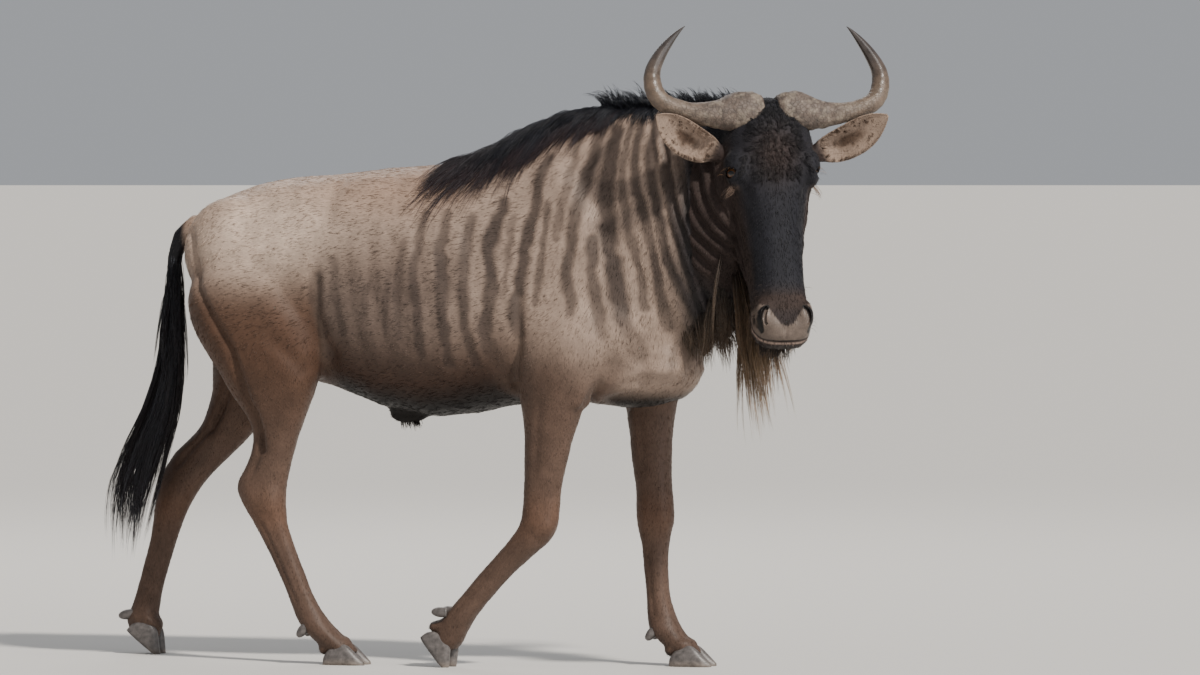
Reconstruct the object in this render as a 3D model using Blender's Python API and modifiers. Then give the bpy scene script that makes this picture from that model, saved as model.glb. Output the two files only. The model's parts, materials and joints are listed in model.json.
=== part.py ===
"""A life-size still model of a walking blue wildebeest bull with its head turned to its right.

Metres, +X towards the chest, +Y to the animal's left, +Z up. Shapes are placed from landmarks measured
from a point on the floor under the middle of the back, and the finished model is moved at the end so
that its origin lies at the bottom centre of its own box.
"""

import math
import random

import bmesh
import bpy
from mathutils import Matrix, Vector
from mathutils.bvhtree import BVHTree

GAP = 0.0004
BLADE = 0.0004
FLESH_VOXEL = 0.0075
FLESH_SMOOTHING = 8
BODY_SMOOTHING = 22
RING = 24
UP = Vector((0, 0, 1))
LEFTWARD = Vector((0, 1, 0))

# Triangles kept on each region of the skin, and where those regions end.
HEAD_TRIANGLES = 2100
TRUNK_TRIANGLES = 1600
LEG_TRIANGLES = 1350
HEAD_MIDDLE = (0, -0.06, 0.27)
HEAD_REACH = 0.36
HEAD_FROM = 0.72
LEG_TOP = 0.62
# The trunk is smoothed more than the rest, above the knees and in front of the tail.
TRUNK_LOWEST = 0.5
TRUNK_REARMOST = -0.60

# The head: the top of the forehead, and how the head is turned, dipped and rolled.
POLL = Vector((0.854, -0.157, 1.275))
HEAD_TURN = math.radians(-57)
HEAD_DIP = math.radians(75)
HEAD_ROLL = math.radians(-0.1)
HEAD_SIZE = 0.975

# The cuts that part the head and neck, as two points of each cut's edge.
NAPE_CUT = (-0.150, -0.040)
THROAT_CUT = (-0.226, 0.420)
WITHERS_CUT = Vector((0.452, 0, 1.270))
BREAST_CUT = Vector((0.618, 0, 0.680))
TAIL_CUT = Vector((-0.624, 0, 0.976))
TAIL_CUT_FACING = Vector((-0.78, 0, -0.62))
NECK_CUT_HALF = 0.42
HEAD_CUT_HALF = 0.32
TAIL_CUT_HALF = 0.07
TRIM_REACH = 0.5

# Left of the middle, out of the face and down from the poll.
EYE = Vector((0.0865, -0.046, 0.153))
EYE_GAZE = Vector((0.84, 0.54, 0.04))
EYE_RADIUS = 0.0195
LID = 0.0028
EYE_OPENING = (0.0160, 0.0098)
EYE_SEGMENTS = 12

# The trunk, from the rump to the breast: station, top, bottom, half width, height of the widest part,
# and how square the upper and lower halves are.
TRUNK = (
    (-0.598, 1.000, 0.915, 0.035, 0.955, 2.0, 2.0),
    (-0.584, 1.022, 0.830, 0.078, 0.925, 2.0, 2.0),
    (-0.555, 1.046, 0.755, 0.122, 0.900, 2.0, 2.0),
    (-0.500, 1.071, 0.705, 0.156, 0.890, 2.1, 2.0),
    (-0.430, 1.094, 0.672, 0.178, 0.890, 2.2, 2.0),
    (-0.340, 1.109, 0.650, 0.190, 0.880, 2.2, 2.0),
    (-0.240, 1.116, 0.622, 0.200, 0.850, 2.2, 2.1),
    (-0.120, 1.131, 0.580, 0.220, 0.810, 2.1, 2.2),
    (0.000, 1.139, 0.560, 0.230, 0.800, 2.0, 2.2),
    (0.090, 1.152, 0.568, 0.226, 0.800, 1.9, 2.2),
    (0.150, 1.180, 0.582, 0.216, 0.810, 1.75, 2.2),
    (0.210, 1.212, 0.592, 0.206, 0.820, 1.65, 2.2),
    (0.280, 1.242, 0.598, 0.198, 0.840, 1.6, 2.2),
    (0.350, 1.262, 0.596, 0.192, 0.850, 1.6, 2.1),
    (0.420, 1.268, 0.588, 0.180, 0.850, 1.6, 2.1),
    (0.490, 1.252, 0.590, 0.160, 0.850, 1.7, 2.1),
    (0.550, 1.200, 0.606, 0.132, 0.850, 1.9, 2.1),
    (0.595, 1.120, 0.640, 0.096, 0.850, 2.0, 2.0),
    (0.622, 1.000, 0.710, 0.052, 0.850, 2.0, 2.0),
)

# Forms on each side of the trunk, as middle and radii: the point of the hip and the haunch.
FLANK_FORMS = (
    ((-0.290, 0.095, 1.005), (0.130, 0.070, 0.060)),
    ((-0.465, 0.098, 0.935), (0.125, 0.080, 0.130)),
)
# Forms under the trunk: the brisket, the breast bone and the sheath.
BELLY_FORMS = (
    ((0.555, -0.010, 0.690), (0.080, 0.105, 0.090)),
    ((0.470, 0.000, 0.640), (0.120, 0.110, 0.055)),
    ((-0.075, 0.000, 0.566), (0.055, 0.022, 0.026)),
)
# Forms of each shoulder, placed from its elbow: the blade, the point of the shoulder and the elbow.
ELBOWS = ((-1, 0.300), (1, 0.400))
BLADE_LEAN = math.radians(-24)
SHOULDER_FORMS = (
    ((0.085, 0.098, 0.940), (0.105, 0.080, 0.235), BLADE_LEAN),
    ((0.150, 0.108, 0.780), (0.090, 0.066, 0.100), 0),
    ((-0.015, 0.125, 0.665), (0.050, 0.048, 0.065), 0),
)

# The neck, from inside the chest to inside the skull: centre, half height and half width.
NECK = (
    ((0.360, 0.000, 0.960), 0.280, 0.145),
    ((0.490, -0.006, 0.965), 0.302, 0.144),
    ((0.590, -0.026, 0.988), 0.284, 0.132),
    ((0.672, -0.052, 1.020), 0.250, 0.118),
    ((0.740, -0.080, 1.052), 0.214, 0.108),
    ((0.800, -0.112, 1.085), 0.168, 0.094),
)

# The head, from poll to nose: distance down, front, back, half width, how much narrower the front is
# than the back, and how square the section is.
SKULL = (
    (-0.030, -0.050, -0.110, 0.046, 0.00, 2.2),
    (-0.012, -0.022, -0.145, 0.072, 0.00, 2.3),
    (0.020, -0.006, -0.170, 0.094, 0.02, 2.5),
    (0.070, 0.004, -0.190, 0.106, 0.02, 2.6),
    (0.120, 0.008, -0.204, 0.108, 0.04, 2.7),
    (0.170, 0.008, -0.214, 0.101, 0.10, 2.7),
    (0.225, 0.006, -0.214, 0.088, 0.18, 2.7),
    (0.285, 0.004, -0.200, 0.076, 0.20, 2.7),
    (0.345, 0.003, -0.174, 0.067, 0.14, 2.7),
    (0.400, 0.003, -0.150, 0.061, 0.06, 2.7),
    (0.445, 0.003, -0.132, 0.061, 0.00, 2.8),
    (0.485, 0.004, -0.120, 0.066, -0.02, 3.0),
    (0.518, 0.001, -0.110, 0.068, -0.01, 3.0),
    (0.543, -0.008, -0.098, 0.060, 0.00, 2.8),
    (0.559, -0.028, -0.078, 0.042, 0.00, 2.5),
)
# Forms on each side of the skull: left, front, down, then three radii along the same directions.
SKULL_FORMS = (
    (0.080, -0.040, 0.142, 0.033, 0.040, 0.050),
    (0.064, -0.140, 0.205, 0.034, 0.062, 0.085),
    (0.080, -0.095, 0.092, 0.038, 0.040, 0.040),
    (0.044, -0.018, 0.492, 0.026, 0.024, 0.040),
    (0.022, -0.084, 0.522, 0.030, 0.026, 0.024),
)

# The mouth: middle of its line, how far it reaches to the side and to the front, and its cut.
MOUTH = Vector((0, -0.085, 0.482))
MOUTH_SIDE = 0.062
MOUTH_FRONT = 0.094
MOUTH_SLOPE = math.radians(43)
MOUTH_TURN = math.radians(104)
MOUTH_DEEP = 0.010
MOUTH_HIGH = 0.0013
NOSTRIL = ((0.049, 0.004, 0.470), (0.058, 0.004, 0.484), (0.066, -0.004, 0.502), (0.068, -0.016, 0.520))
NOSTRIL_RADIUS = 0.0055

# Each leg: level, middle along X and Y, half depth along X and half width along Y.
HIND_NEAR = (
    (0.930, -0.395, -0.120, 0.100, 0.050),
    (0.860, -0.410, -0.132, 0.148, 0.078),
    (0.780, -0.392, -0.142, 0.160, 0.090),
    (0.700, -0.368, -0.146, 0.138, 0.086),
    (0.630, -0.352, -0.144, 0.104, 0.072),
    (0.570, -0.345, -0.140, 0.074, 0.058),
    (0.520, -0.346, -0.136, 0.056, 0.046),
    (0.464, -0.362, -0.132, 0.052, 0.038),
    (0.415, -0.382, -0.128, 0.060, 0.037),
    (0.385, -0.384, -0.127, 0.058, 0.038),
    (0.350, -0.375, -0.126, 0.049, 0.036),
    (0.310, -0.361, -0.124, 0.039, 0.031),
    (0.245, -0.333, -0.121, 0.033, 0.027),
    (0.160, -0.296, -0.117, 0.032, 0.027),
    (0.110, -0.272, -0.114, 0.036, 0.031),
    (0.080, -0.250, -0.112, 0.040, 0.037),
    (0.052, -0.220, -0.110, 0.040, 0.037),
    (0.034, -0.196, -0.108, 0.036, 0.036),
    (0.024, -0.190, -0.108, 0.026, 0.028),
)
HIND_FAR = (
    (0.930, -0.425, 0.120, 0.100, 0.050),
    (0.860, -0.455, 0.132, 0.140, 0.078),
    (0.780, -0.470, 0.142, 0.142, 0.088),
    (0.700, -0.488, 0.146, 0.126, 0.084),
    (0.630, -0.508, 0.144, 0.106, 0.070),
    (0.570, -0.540, 0.141, 0.086, 0.054),
    (0.520, -0.578, 0.138, 0.072, 0.046),
    (0.464, -0.636, 0.135, 0.072, 0.039),
    (0.420, -0.672, 0.133, 0.061, 0.038),
    (0.385, -0.694, 0.131, 0.052, 0.037),
    (0.345, -0.712, 0.130, 0.044, 0.036),
    (0.300, -0.724, 0.128, 0.037, 0.031),
    (0.245, -0.738, 0.126, 0.033, 0.027),
    (0.160, -0.762, 0.122, 0.031, 0.027),
    (0.110, -0.774, 0.119, 0.034, 0.031),
    (0.085, -0.782, 0.117, 0.038, 0.036),
    (0.060, -0.776, 0.115, 0.037, 0.036),
    (0.046, -0.772, 0.114, 0.035, 0.035),
    (0.034, -0.768, 0.113, 0.026, 0.028),
)
FRONT_NEAR = (
    (0.900, 0.370, -0.115, 0.060, 0.040),
    (0.820, 0.362, -0.126, 0.098, 0.064),
    (0.740, 0.352, -0.136, 0.112, 0.072),
    (0.670, 0.340, -0.140, 0.102, 0.070),
    (0.610, 0.328, -0.138, 0.080, 0.062),
    (0.545, 0.316, -0.134, 0.062, 0.052),
    (0.480, 0.306, -0.130, 0.052, 0.044),
    (0.410, 0.296, -0.126, 0.045, 0.038),
    (0.360, 0.291, -0.124, 0.044, 0.038),
    (0.325, 0.284, -0.122, 0.045, 0.040),
    (0.290, 0.262, -0.121, 0.049, 0.038),
    (0.255, 0.226, -0.119, 0.046, 0.034),
    (0.215, 0.182, -0.117, 0.041, 0.029),
    (0.170, 0.140, -0.115, 0.040, 0.028),
    (0.130, 0.104, -0.114, 0.040, 0.032),
    (0.105, 0.086, -0.113, 0.039, 0.035),
    (0.080, 0.074, -0.112, 0.036, 0.035),
    (0.055, 0.060, -0.111, 0.037, 0.035),
    (0.038, 0.052, -0.110, 0.028, 0.028),
)
FRONT_FAR = (
    (0.900, 0.430, 0.115, 0.060, 0.040),
    (0.820, 0.444, 0.126, 0.096, 0.064),
    (0.740, 0.456, 0.134, 0.104, 0.070),
    (0.670, 0.462, 0.136, 0.090, 0.068),
    (0.610, 0.462, 0.132, 0.068, 0.058),
    (0.545, 0.464, 0.128, 0.054, 0.050),
    (0.480, 0.467, 0.124, 0.048, 0.043),
    (0.410, 0.473, 0.121, 0.043, 0.038),
    (0.360, 0.477, 0.119, 0.044, 0.040),
    (0.325, 0.478, 0.118, 0.043, 0.040),
    (0.285, 0.478, 0.117, 0.035, 0.034),
    (0.240, 0.480, 0.115, 0.030, 0.029),
    (0.160, 0.487, 0.112, 0.029, 0.028),
    (0.110, 0.497, 0.110, 0.035, 0.032),
    (0.080, 0.509, 0.108, 0.040, 0.037),
    (0.055, 0.532, 0.107, 0.040, 0.037),
    (0.036, 0.556, 0.106, 0.036, 0.036),
    (0.025, 0.562, 0.106, 0.026, 0.028),
)

# Each foot: where the toes' tips meet the floor, the way they point, how far the heel is raised, and
# where the dewclaws hang from.
FEET = {
    "hind_right": (Vector((-0.146, -0.108, 0)), 0, 0, Vector((-0.288, -0.112, 0.078))),
    "hind_left": (Vector((-0.742, 0.113, 0)), 4, 40, Vector((-0.818, 0.118, 0.094))),
    "front_right": (Vector((0.060, -0.110, 0)), -4, 52, Vector((0.050, -0.113, 0.130))),
    "front_left": (Vector((0.612, 0.106, 0)), 2, 0, Vector((0.474, 0.109, 0.074))),
}
# A claw from its heel to its toe: distance from the tip, height, half width.
CLAW = (
    (0.096, 0.018, 0.009),
    (0.086, 0.033, 0.015),
    (0.064, 0.047, 0.017),
    (0.042, 0.045, 0.017),
    (0.018, 0.024, 0.0145),
    (0.000, 0.007, 0.005),
)
CLAW_SIDES = 5
CLAW_APART = 0.0195
DEWCLAW_LENGTH = 0.036
DEWCLAW_RADIUS = 0.0115
DEWCLAW_APART = 0.019

# Half of the horns: left of the middle, forward, above the poll, half height and half thickness.
HORN = (
    (0.014, -0.050, -0.004, 0.020, 0.022),
    (0.018, -0.050, -0.004, 0.034, 0.036),
    (0.040, -0.048, -0.004, 0.045, 0.046),
    (0.072, -0.046, -0.007, 0.046, 0.046),
    (0.106, -0.044, -0.012, 0.038, 0.038),
    (0.142, -0.043, -0.013, 0.029, 0.030),
    (0.190, -0.043, -0.007, 0.0235, 0.0248),
    (0.238, -0.044, 0.010, 0.0225, 0.0225),
    (0.260, -0.045, 0.031, 0.0225, 0.0220),
    (0.269, -0.045, 0.061, 0.0215, 0.0210),
    (0.266, -0.043, 0.092, 0.0190, 0.0190),
    (0.2485, -0.039, 0.126, 0.0155, 0.0155),
    (0.226, -0.033, 0.156, 0.0110, 0.0110),
    (0.205, -0.026, 0.178, 0.0060, 0.0060),
    (0.190, -0.020, 0.190, 0.0020, 0.0020),
)

# An ear: its root and its reach, then stations along it: share, half width, back bulge, cup depth.
EAR_ROOT = Vector((0.096, -0.090, 0.100))
EAR_REACH = Vector((0.172, 0.078, -0.074))
EAR_OPENS = Vector((0.10, 0.88, 0.35))
EAR = (
    (0.00, 0.019, 0.019, -0.019),
    (0.13, 0.022, 0.022, -0.014),
    (0.24, 0.031, 0.026, 0.004),
    (0.36, 0.037, 0.026, 0.0205),
    (0.52, 0.040, 0.022, 0.0170),
    (0.68, 0.039, 0.017, 0.0125),
    (0.82, 0.031, 0.012, 0.0080),
    (0.93, 0.017, 0.007, 0.0035),
    (1.00, 0.003, 0.003, 0.0005),
)
EAR_RIM = 0.0035
EAR_SAG = 0.014

TAIL = (
    ((-0.560, 0.000, 1.000), 0.030),
    ((-0.602, 0.000, 0.996), 0.026),
    ((-0.636, 0.000, 0.968), 0.022),
    ((-0.652, 0.001, 0.920), 0.020),
    ((-0.655, 0.003, 0.860), 0.018),
    ((-0.657, 0.005, 0.790), 0.016),
    ((-0.664, 0.008, 0.720), 0.014),
    ((-0.680, 0.010, 0.640), 0.011),
)
# The outline of the tail's hair: middle, half depth along X and half width along Y.
TAIL_HAIR = (
    ((-0.636, 0.000, 0.968), 0.023, 0.023),
    ((-0.652, 0.001, 0.920), 0.026, 0.026),
    ((-0.657, 0.003, 0.860), 0.029, 0.029),
    ((-0.660, 0.005, 0.760), 0.034, 0.033),
    ((-0.666, 0.010, 0.660), 0.043, 0.038),
    ((-0.694, 0.020, 0.560), 0.053, 0.042),
    ((-0.733, 0.030, 0.460), 0.057, 0.042),
    ((-0.757, 0.036, 0.380), 0.052, 0.038),
    ((-0.770, 0.038, 0.300), 0.040, 0.030),
    ((-0.776, 0.038, 0.220), 0.022, 0.018),
)
# Rings of locks down the tail: levels of root and tip, and a turn of the ring.
TAIL_RINGS = (
    (0.955, 0.690, 0.0),
    (0.880, 0.550, 0.5),
    (0.800, 0.430, 0.1),
    (0.720, 0.320, 0.6),
    (0.660, 0.220, 0.2),
)
TAIL_RING_LOCKS = 5
# How far out of the middle of the tail a lock runs at each share of its length, so that each ring comes
# out from under the one above it.
TAIL_SPREAD = (0.22, 0.50, 0.74, 0.94, 1.0)
TAIL_LOCK_COVER = 0.82
TAIL_LOCK_THICK = 0.008
TAIL_FLARE = 0.55

# The crest that the mane stands on, from behind the withers to behind the horns.
CREST = (
    Vector((0.090, 0.000, 1.150)),
    Vector((0.180, 0.000, 1.196)),
    Vector((0.280, 0.000, 1.242)),
    Vector((0.380, 0.000, 1.264)),
    Vector((0.480, 0.000, 1.270)),
    Vector((0.590, -0.022, 1.268)),
    Vector((0.680, -0.050, 1.266)),
    Vector((0.760, -0.090, 1.262)),
)
# How long the mane is at each place along X.
MANE_LENGTH = ((0.09, 0.17), (0.16, 0.25), (0.30, 0.24), (0.40, 0.17), (0.50, 0.10), (0.76, 0.08))
# Rows of the mane: side, from and to along X, how many, share of the length.
MANE_ON_TORSO = (
    (-1, 0.095, 0.440, 14, 1.00),
    (1, 0.130, 0.435, 6, 0.75),
)
MANE_ON_NECK = (
    (-1, 0.500, 0.740, 6, 1.00),
    (1, 0.510, 0.740, 4, 0.90),
)
MANE_WIDTH = 0.056
MANE_SLIM = 0.36
MANE_THICK = 0.0075
# Neighbours in the mane lie at these heights in turn, so that they overlap without crossing.
MANE_LIFTS = (0.006, 0.023, 0.014, 0.031)
FULL_LIFT_LENGTH = 0.20
# Which way a lock of the mane leaves the crest, and which way it falls at its tip: back, side, down.
MANE_START = (0.62, 0.75, 0.20)
MANE_END = (0.50, 0.45, 0.90)
NECK_MANE_START = (0.30, 0.80, 0.20)
NECK_MANE_END = (0.05, 0.30, 0.95)
# Short locks that stand up along the crest: from and to along X, how many, length, width.
STANDING_ON_TORSO = (0.380, 0.430, 2, 0.055, 0.020)
STANDING_ON_NECK = (0.500, 0.700, 4, 0.050, 0.026)

# The lower edge of the neck that the throat's fringe hangs from: point, then length of the locks.
THROAT = (
    (Vector((0.640, -0.040, 0.745)), 0.075),
    (Vector((0.668, -0.050, 0.775)), 0.120),
    (Vector((0.695, -0.060, 0.805)), 0.150),
    (Vector((0.722, -0.074, 0.835)), 0.170),
)
THROAT_ROWS = (-0.036, 0.0, 0.036)
THROAT_LEAN = Vector((0.08, -0.02, -1.0))
# The beard on the lower jaw: left, front and down in the head, length of the lock, and how far its flat
# side is turned from the side of the head to the front.
BEARD = (
    (-0.052, -0.205, 0.318, 0.235, 50),
    (-0.050, -0.194, 0.346, 0.285, 70),
    (-0.046, -0.178, 0.376, 0.290, 40),
    (-0.042, -0.160, 0.406, 0.190, 75),
    (-0.034, -0.140, 0.442, 0.105, 80),
    (0.000, -0.206, 0.330, 0.220, 60),
    (0.000, -0.184, 0.368, 0.250, 85),
    (0.000, -0.156, 0.414, 0.160, 65),
    (0.000, -0.126, 0.464, 0.080, 90),
    (0.046, -0.194, 0.345, 0.180, 110),
    (0.044, -0.168, 0.392, 0.165, 135),
    (0.034, -0.138, 0.444, 0.095, 100),
)
BEARD_LEAN = Vector((0.15, 0.02, -1.0))
BEARD_WIDTH = 0.042
BEARD_THICK = 0.009
# Locks fanned over the forehead: left, down, way to the side, length.
FORELOCK = (
    (-0.045, 0.062, -0.55, 0.055),
    (-0.022, 0.056, -0.22, 0.070),
    (0.000, 0.052, 0.00, 0.078),
    (0.022, 0.056, 0.22, 0.070),
    (0.045, 0.062, 0.55, 0.055),
)
FORELOCK_WIDTH = 0.026
FORELOCK_THICK = 0.007
# The form of every lock: shares of its length, and its width and thickness there. The last is its tip.
LOCK_SHARES = (0.0, 0.22, 0.50, 0.78, 1.0)
LOCK_WIDTHS = (0.42, 0.90, 1.0, 0.70)
LOCK_THICKS = (1.0, 1.0, 0.75, 0.45)
LOCK_SUNK = 0.012
LOCK_RISE = (0.7, 1.0, 1.0, 0.8)
LOCK_SEED = 4
LENGTH_VARIES = 0.14
WAY_VARIES = 0.10
ROOT_VARIES = 0.006

COLOURS = {
    "coat": (0.19, 0.15, 0.12),
    "face": (0.03, 0.027, 0.027),
    "horn": (0.24, 0.20, 0.16),
    "hoof": (0.06, 0.06, 0.065),
    "eye": (0.03, 0.015, 0.008),
    "hair": (0.018, 0.016, 0.018),
}
FINISH = {
    "coat": 0.7,
    "face": 0.5,
    "horn": 0.45,
    "hoof": 0.4,
    "eye": 0.1,
    "hair": 0.5,
}


def head_axes():
    """The head's left, front and down directions, as the columns of a matrix."""
    ahead = Vector((math.cos(HEAD_TURN), math.sin(HEAD_TURN), 0))
    left = Vector((-ahead.y, ahead.x, 0))
    down = ahead * math.cos(HEAD_DIP) - UP * math.sin(HEAD_DIP)
    front = ahead * math.sin(HEAD_DIP) + UP * math.cos(HEAD_DIP)
    roll = Matrix.Rotation(HEAD_ROLL, 3, front)
    return Matrix((roll @ left, front, roll @ down)).transposed()


HEAD_AXES = head_axes()


def head_point(left, front, down):
    """A point of the head: to its left, out of its face, and down to its nose, all from the poll."""
    return POLL + HEAD_AXES @ Vector((left, front, down)) * HEAD_SIZE


def head_way(way, side=1):
    """A direction of the head, mirrored to its right side when side is -1."""
    return (HEAD_AXES @ Vector((way[0] * side, way[1], way[2]))).normalized()


def oval(middle, across, upright, half_across, up, down, upper=2.0, lower=2.0, count=RING, taper=0.0):
    """A closed ring of points: an oval whose upper and lower halves may differ in height and squareness."""
    ring = []
    for i in range(count):
        angle = math.tau * i / count
        c, s = math.cos(angle), math.sin(angle)
        power = 2 / (upper if s >= 0 else lower)
        side = math.copysign(abs(c) ** power, c)
        rise = math.copysign(abs(s) ** power, s)
        width = half_across * (1 - taper * rise)
        ring.append(middle + across * (side * width) + upright * (rise * (up if s >= 0 else down)))
    return ring


def add_loft(bm, rings):
    """Joins rings of the same number of points into one closed body."""
    rows = [[bm.verts.new(p) for p in ring] for ring in rings]
    count = len(rows[0])
    faces = [bm.faces.new(list(reversed(rows[0]))), bm.faces.new(rows[-1])]
    for a, b in zip(rows, rows[1:]):
        for i in range(count):
            j = (i + 1) % count
            faces.append(bm.faces.new((a[i], a[j], b[j], b[i])))
    bmesh.ops.recalc_face_normals(bm, faces=faces)


def along(points):
    """The directions of a line through its points."""
    ways = []
    for i in range(len(points)):
        before, after = points[max(i - 1, 0)], points[min(i + 1, len(points) - 1)]
        ways.append((after - before).normalized())
    return ways


def add_tube(bm, points, radii, flats=None, count=12, up=UP):
    """A rod through points, each with its own half thickness, and another across it if flats is given."""
    flats = flats or radii
    rings = []
    for p, way, wide, flat in zip(points, along(points), radii, flats):
        across = up.cross(way).normalized()
        rings.append(oval(p, across, way.cross(across), wide, flat, flat, count=count))
    add_loft(bm, rings)


def add_blob(bm, middle, radii, axes=None, segments=16):
    """An ellipsoid, used for muscles and bones under the skin, and to cut hollows."""
    turn = (axes or Matrix.Identity(3)).to_4x4()
    matrix = Matrix.Translation(middle) @ turn @ Matrix.Diagonal((*radii, 1))
    bmesh.ops.create_uvsphere(bm, u_segments=segments, v_segments=segments * 5 // 8, radius=1, matrix=matrix)


def mesh_object(name, bm, collection):
    mesh = bpy.data.meshes.new(name)
    bm.to_mesh(mesh)
    bm.free()
    made = bpy.data.objects.new(name, mesh)
    collection.objects.link(made)
    return made


def apply_modifiers(obj):
    """Replaces the object's mesh by what its modifiers make of it."""
    bpy.context.view_layer.update()
    graph = bpy.context.evaluated_depsgraph_get()
    mesh = bpy.data.meshes.new_from_object(obj.evaluated_get(graph))
    obj.modifiers.clear()
    old, obj.data = obj.data, mesh
    bpy.data.meshes.remove(old)


def combine(obj, others, operation, solver="EXACT"):
    """Joins the other objects to this one, or cuts them from it, and removes them."""
    group = bpy.data.collections.new("operands")
    bpy.context.scene.collection.children.link(group)
    for other in others:
        group.objects.link(other)
    modifier = obj.modifiers.new("join", "BOOLEAN")
    modifier.operation = operation
    modifier.solver = solver
    modifier.operand_type = "COLLECTION"
    modifier.collection = group
    apply_modifiers(obj)
    for other in others:
        bpy.data.objects.remove(other)
    bpy.data.collections.remove(group)


def islands(bm):
    """The connected groups of vertices."""
    seen, groups = set(), []
    for start in bm.verts:
        if start in seen:
            continue
        seen.add(start)
        group, todo = [], [start]
        while todo:
            v = todo.pop()
            group.append(v)
            for e in v.link_edges:
                w = e.other_vert(v)
                if w not in seen:
                    seen.add(w)
                    todo.append(w)
        groups.append(group)
    return groups


def closed_surfaces(bm):
    """The groups of faces joined two at an edge, so that a pocket that only touches the skin is its own."""
    seen, groups = set(), []
    for start in bm.faces:
        if start in seen:
            continue
        seen.add(start)
        group, todo = [], [start]
        while todo:
            face = todo.pop()
            group.append(face)
            for e in face.edges:
                if len(e.link_faces) != 2:
                    continue
                for other in e.link_faces:
                    if other not in seen:
                        seen.add(other)
                        todo.append(other)
        groups.append(group)
    return groups


def keep_largest(obj):
    """Drops every loose scrap and sealed pocket, and keeps the largest closed surface."""
    bm = bmesh.new()
    bm.from_mesh(obj.data)
    bmesh.ops.triangulate(bm, faces=bm.faces)
    groups = closed_surfaces(bm)
    largest = max(groups, key=len)
    bmesh.ops.delete(bm, geom=[f for g in groups if g is not largest for f in g], context="FACES")
    bm.to_mesh(obj.data)
    bm.free()


def grown_copy(obj, by, collection):
    """A copy of the object with every face moved out by at least this much, to cut a neighbour clear."""
    sharpest = 0.2
    bm = bmesh.new()
    bm.from_mesh(obj.data)
    bm.normal_update()
    moves = []
    for v in bm.verts:
        share = min(v.normal.dot(f.normal) for f in v.link_faces)
        moves.append(v.normal * (by / max(share, sharpest)))
    for v, move in zip(bm.verts, moves):
        v.co += move
    return mesh_object(obj.name + "_grown", bm, collection)


def add_trunk(bm):
    across = -LEFTWARD
    rings = []
    for x, top, bottom, half, widest, upper, lower in TRUNK:
        middle = Vector((x, 0, widest))
        rings.append(oval(middle, across, UP, half, top - widest, widest - bottom, upper, lower))
    add_loft(bm, rings)
    for side in (-1, 1):
        for (x, y, z), radii in FLANK_FORMS:
            add_blob(bm, (x, y * side, z), radii)
    for middle, radii in BELLY_FORMS:
        add_blob(bm, middle, radii)


def add_shoulders(bm):
    for side, elbow in ELBOWS:
        for (x, y, z), radii, lean in SHOULDER_FORMS:
            add_blob(bm, (elbow + x, y * side, z), radii, Matrix.Rotation(lean, 3, "Y"))


def add_neck(bm):
    points = [Vector(p) for p, _, _ in NECK]
    rings = []
    for p, way, (_, tall, half) in zip(points, along(points), NECK):
        across = UP.cross(Vector((way.x, way.y, 0))).normalized()
        rings.append(oval(p, across, UP, half, tall, tall, upper=1.75, lower=1.8))
    add_loft(bm, rings)


def add_skull(bm):
    left, front = HEAD_AXES.col[0], HEAD_AXES.col[1]
    rings = []
    for down, face, back, half, taper, power in SKULL:
        middle = head_point(0, (face + back) / 2, down)
        deep = (face - back) / 2 * HEAD_SIZE
        half *= HEAD_SIZE
        rings.append(oval(middle, left, front, half, deep, deep, power, power, taper=taper))
    add_loft(bm, rings)
    for side in (-1, 1):
        for away, out, down, wide, deep, tall in SKULL_FORMS:
            radii = Vector((wide, deep, tall)) * HEAD_SIZE
            add_blob(bm, head_point(side * away, out, down), radii, HEAD_AXES)


def add_leg(bm, levels):
    rings = []
    for z, x, y, deep, wide in levels:
        rings.append(oval(Vector((x, y, z)), Vector((1, 0, 0)), LEFTWARD, deep, wide, wide, 2.2, 2.2, count=16))
    add_loft(bm, rings)


def in_head(p):
    return (p - head_point(*HEAD_MIDDLE)).length < HEAD_REACH and p.x > HEAD_FROM


def in_leg(p):
    return p.z < LEG_TOP and not in_head(p)


def in_trunk(p):
    return not in_head(p) and not in_leg(p)


def smoothed_more(p):
    return not in_head(p) and p.z > TRUNK_LOWEST and p.x > TRUNK_REARMOST


def smooth(obj, times, where):
    group = obj.vertex_groups.new(name="where")
    group.add([v.index for v in obj.data.vertices if where(v.co)], 1.0, "REPLACE")
    modifier = obj.modifiers.new("smooth", "SMOOTH")
    modifier.factor = 0.5
    modifier.iterations = times
    modifier.vertex_group = "where"
    apply_modifiers(obj)
    obj.vertex_groups.clear()


def thin_out(obj, wanted, where):
    """Leaves about this many triangles in the region where the function is true."""
    inside = [where(v.co) for v in obj.data.vertices]
    total = region = 0
    for face in obj.data.polygons:
        triangles = len(face.vertices) - 2
        total += triangles
        region += triangles * all(inside[i] for i in face.vertices)
    group = obj.vertex_groups.new(name="where")
    group.add([i for i, yes in enumerate(inside) if yes], 1.0, "REPLACE")
    modifier = obj.modifiers.new("fewer", "DECIMATE")
    modifier.ratio = (total - region + wanted) / total
    modifier.vertex_group = "where"
    apply_modifiers(obj)
    obj.vertex_groups.clear()


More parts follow.
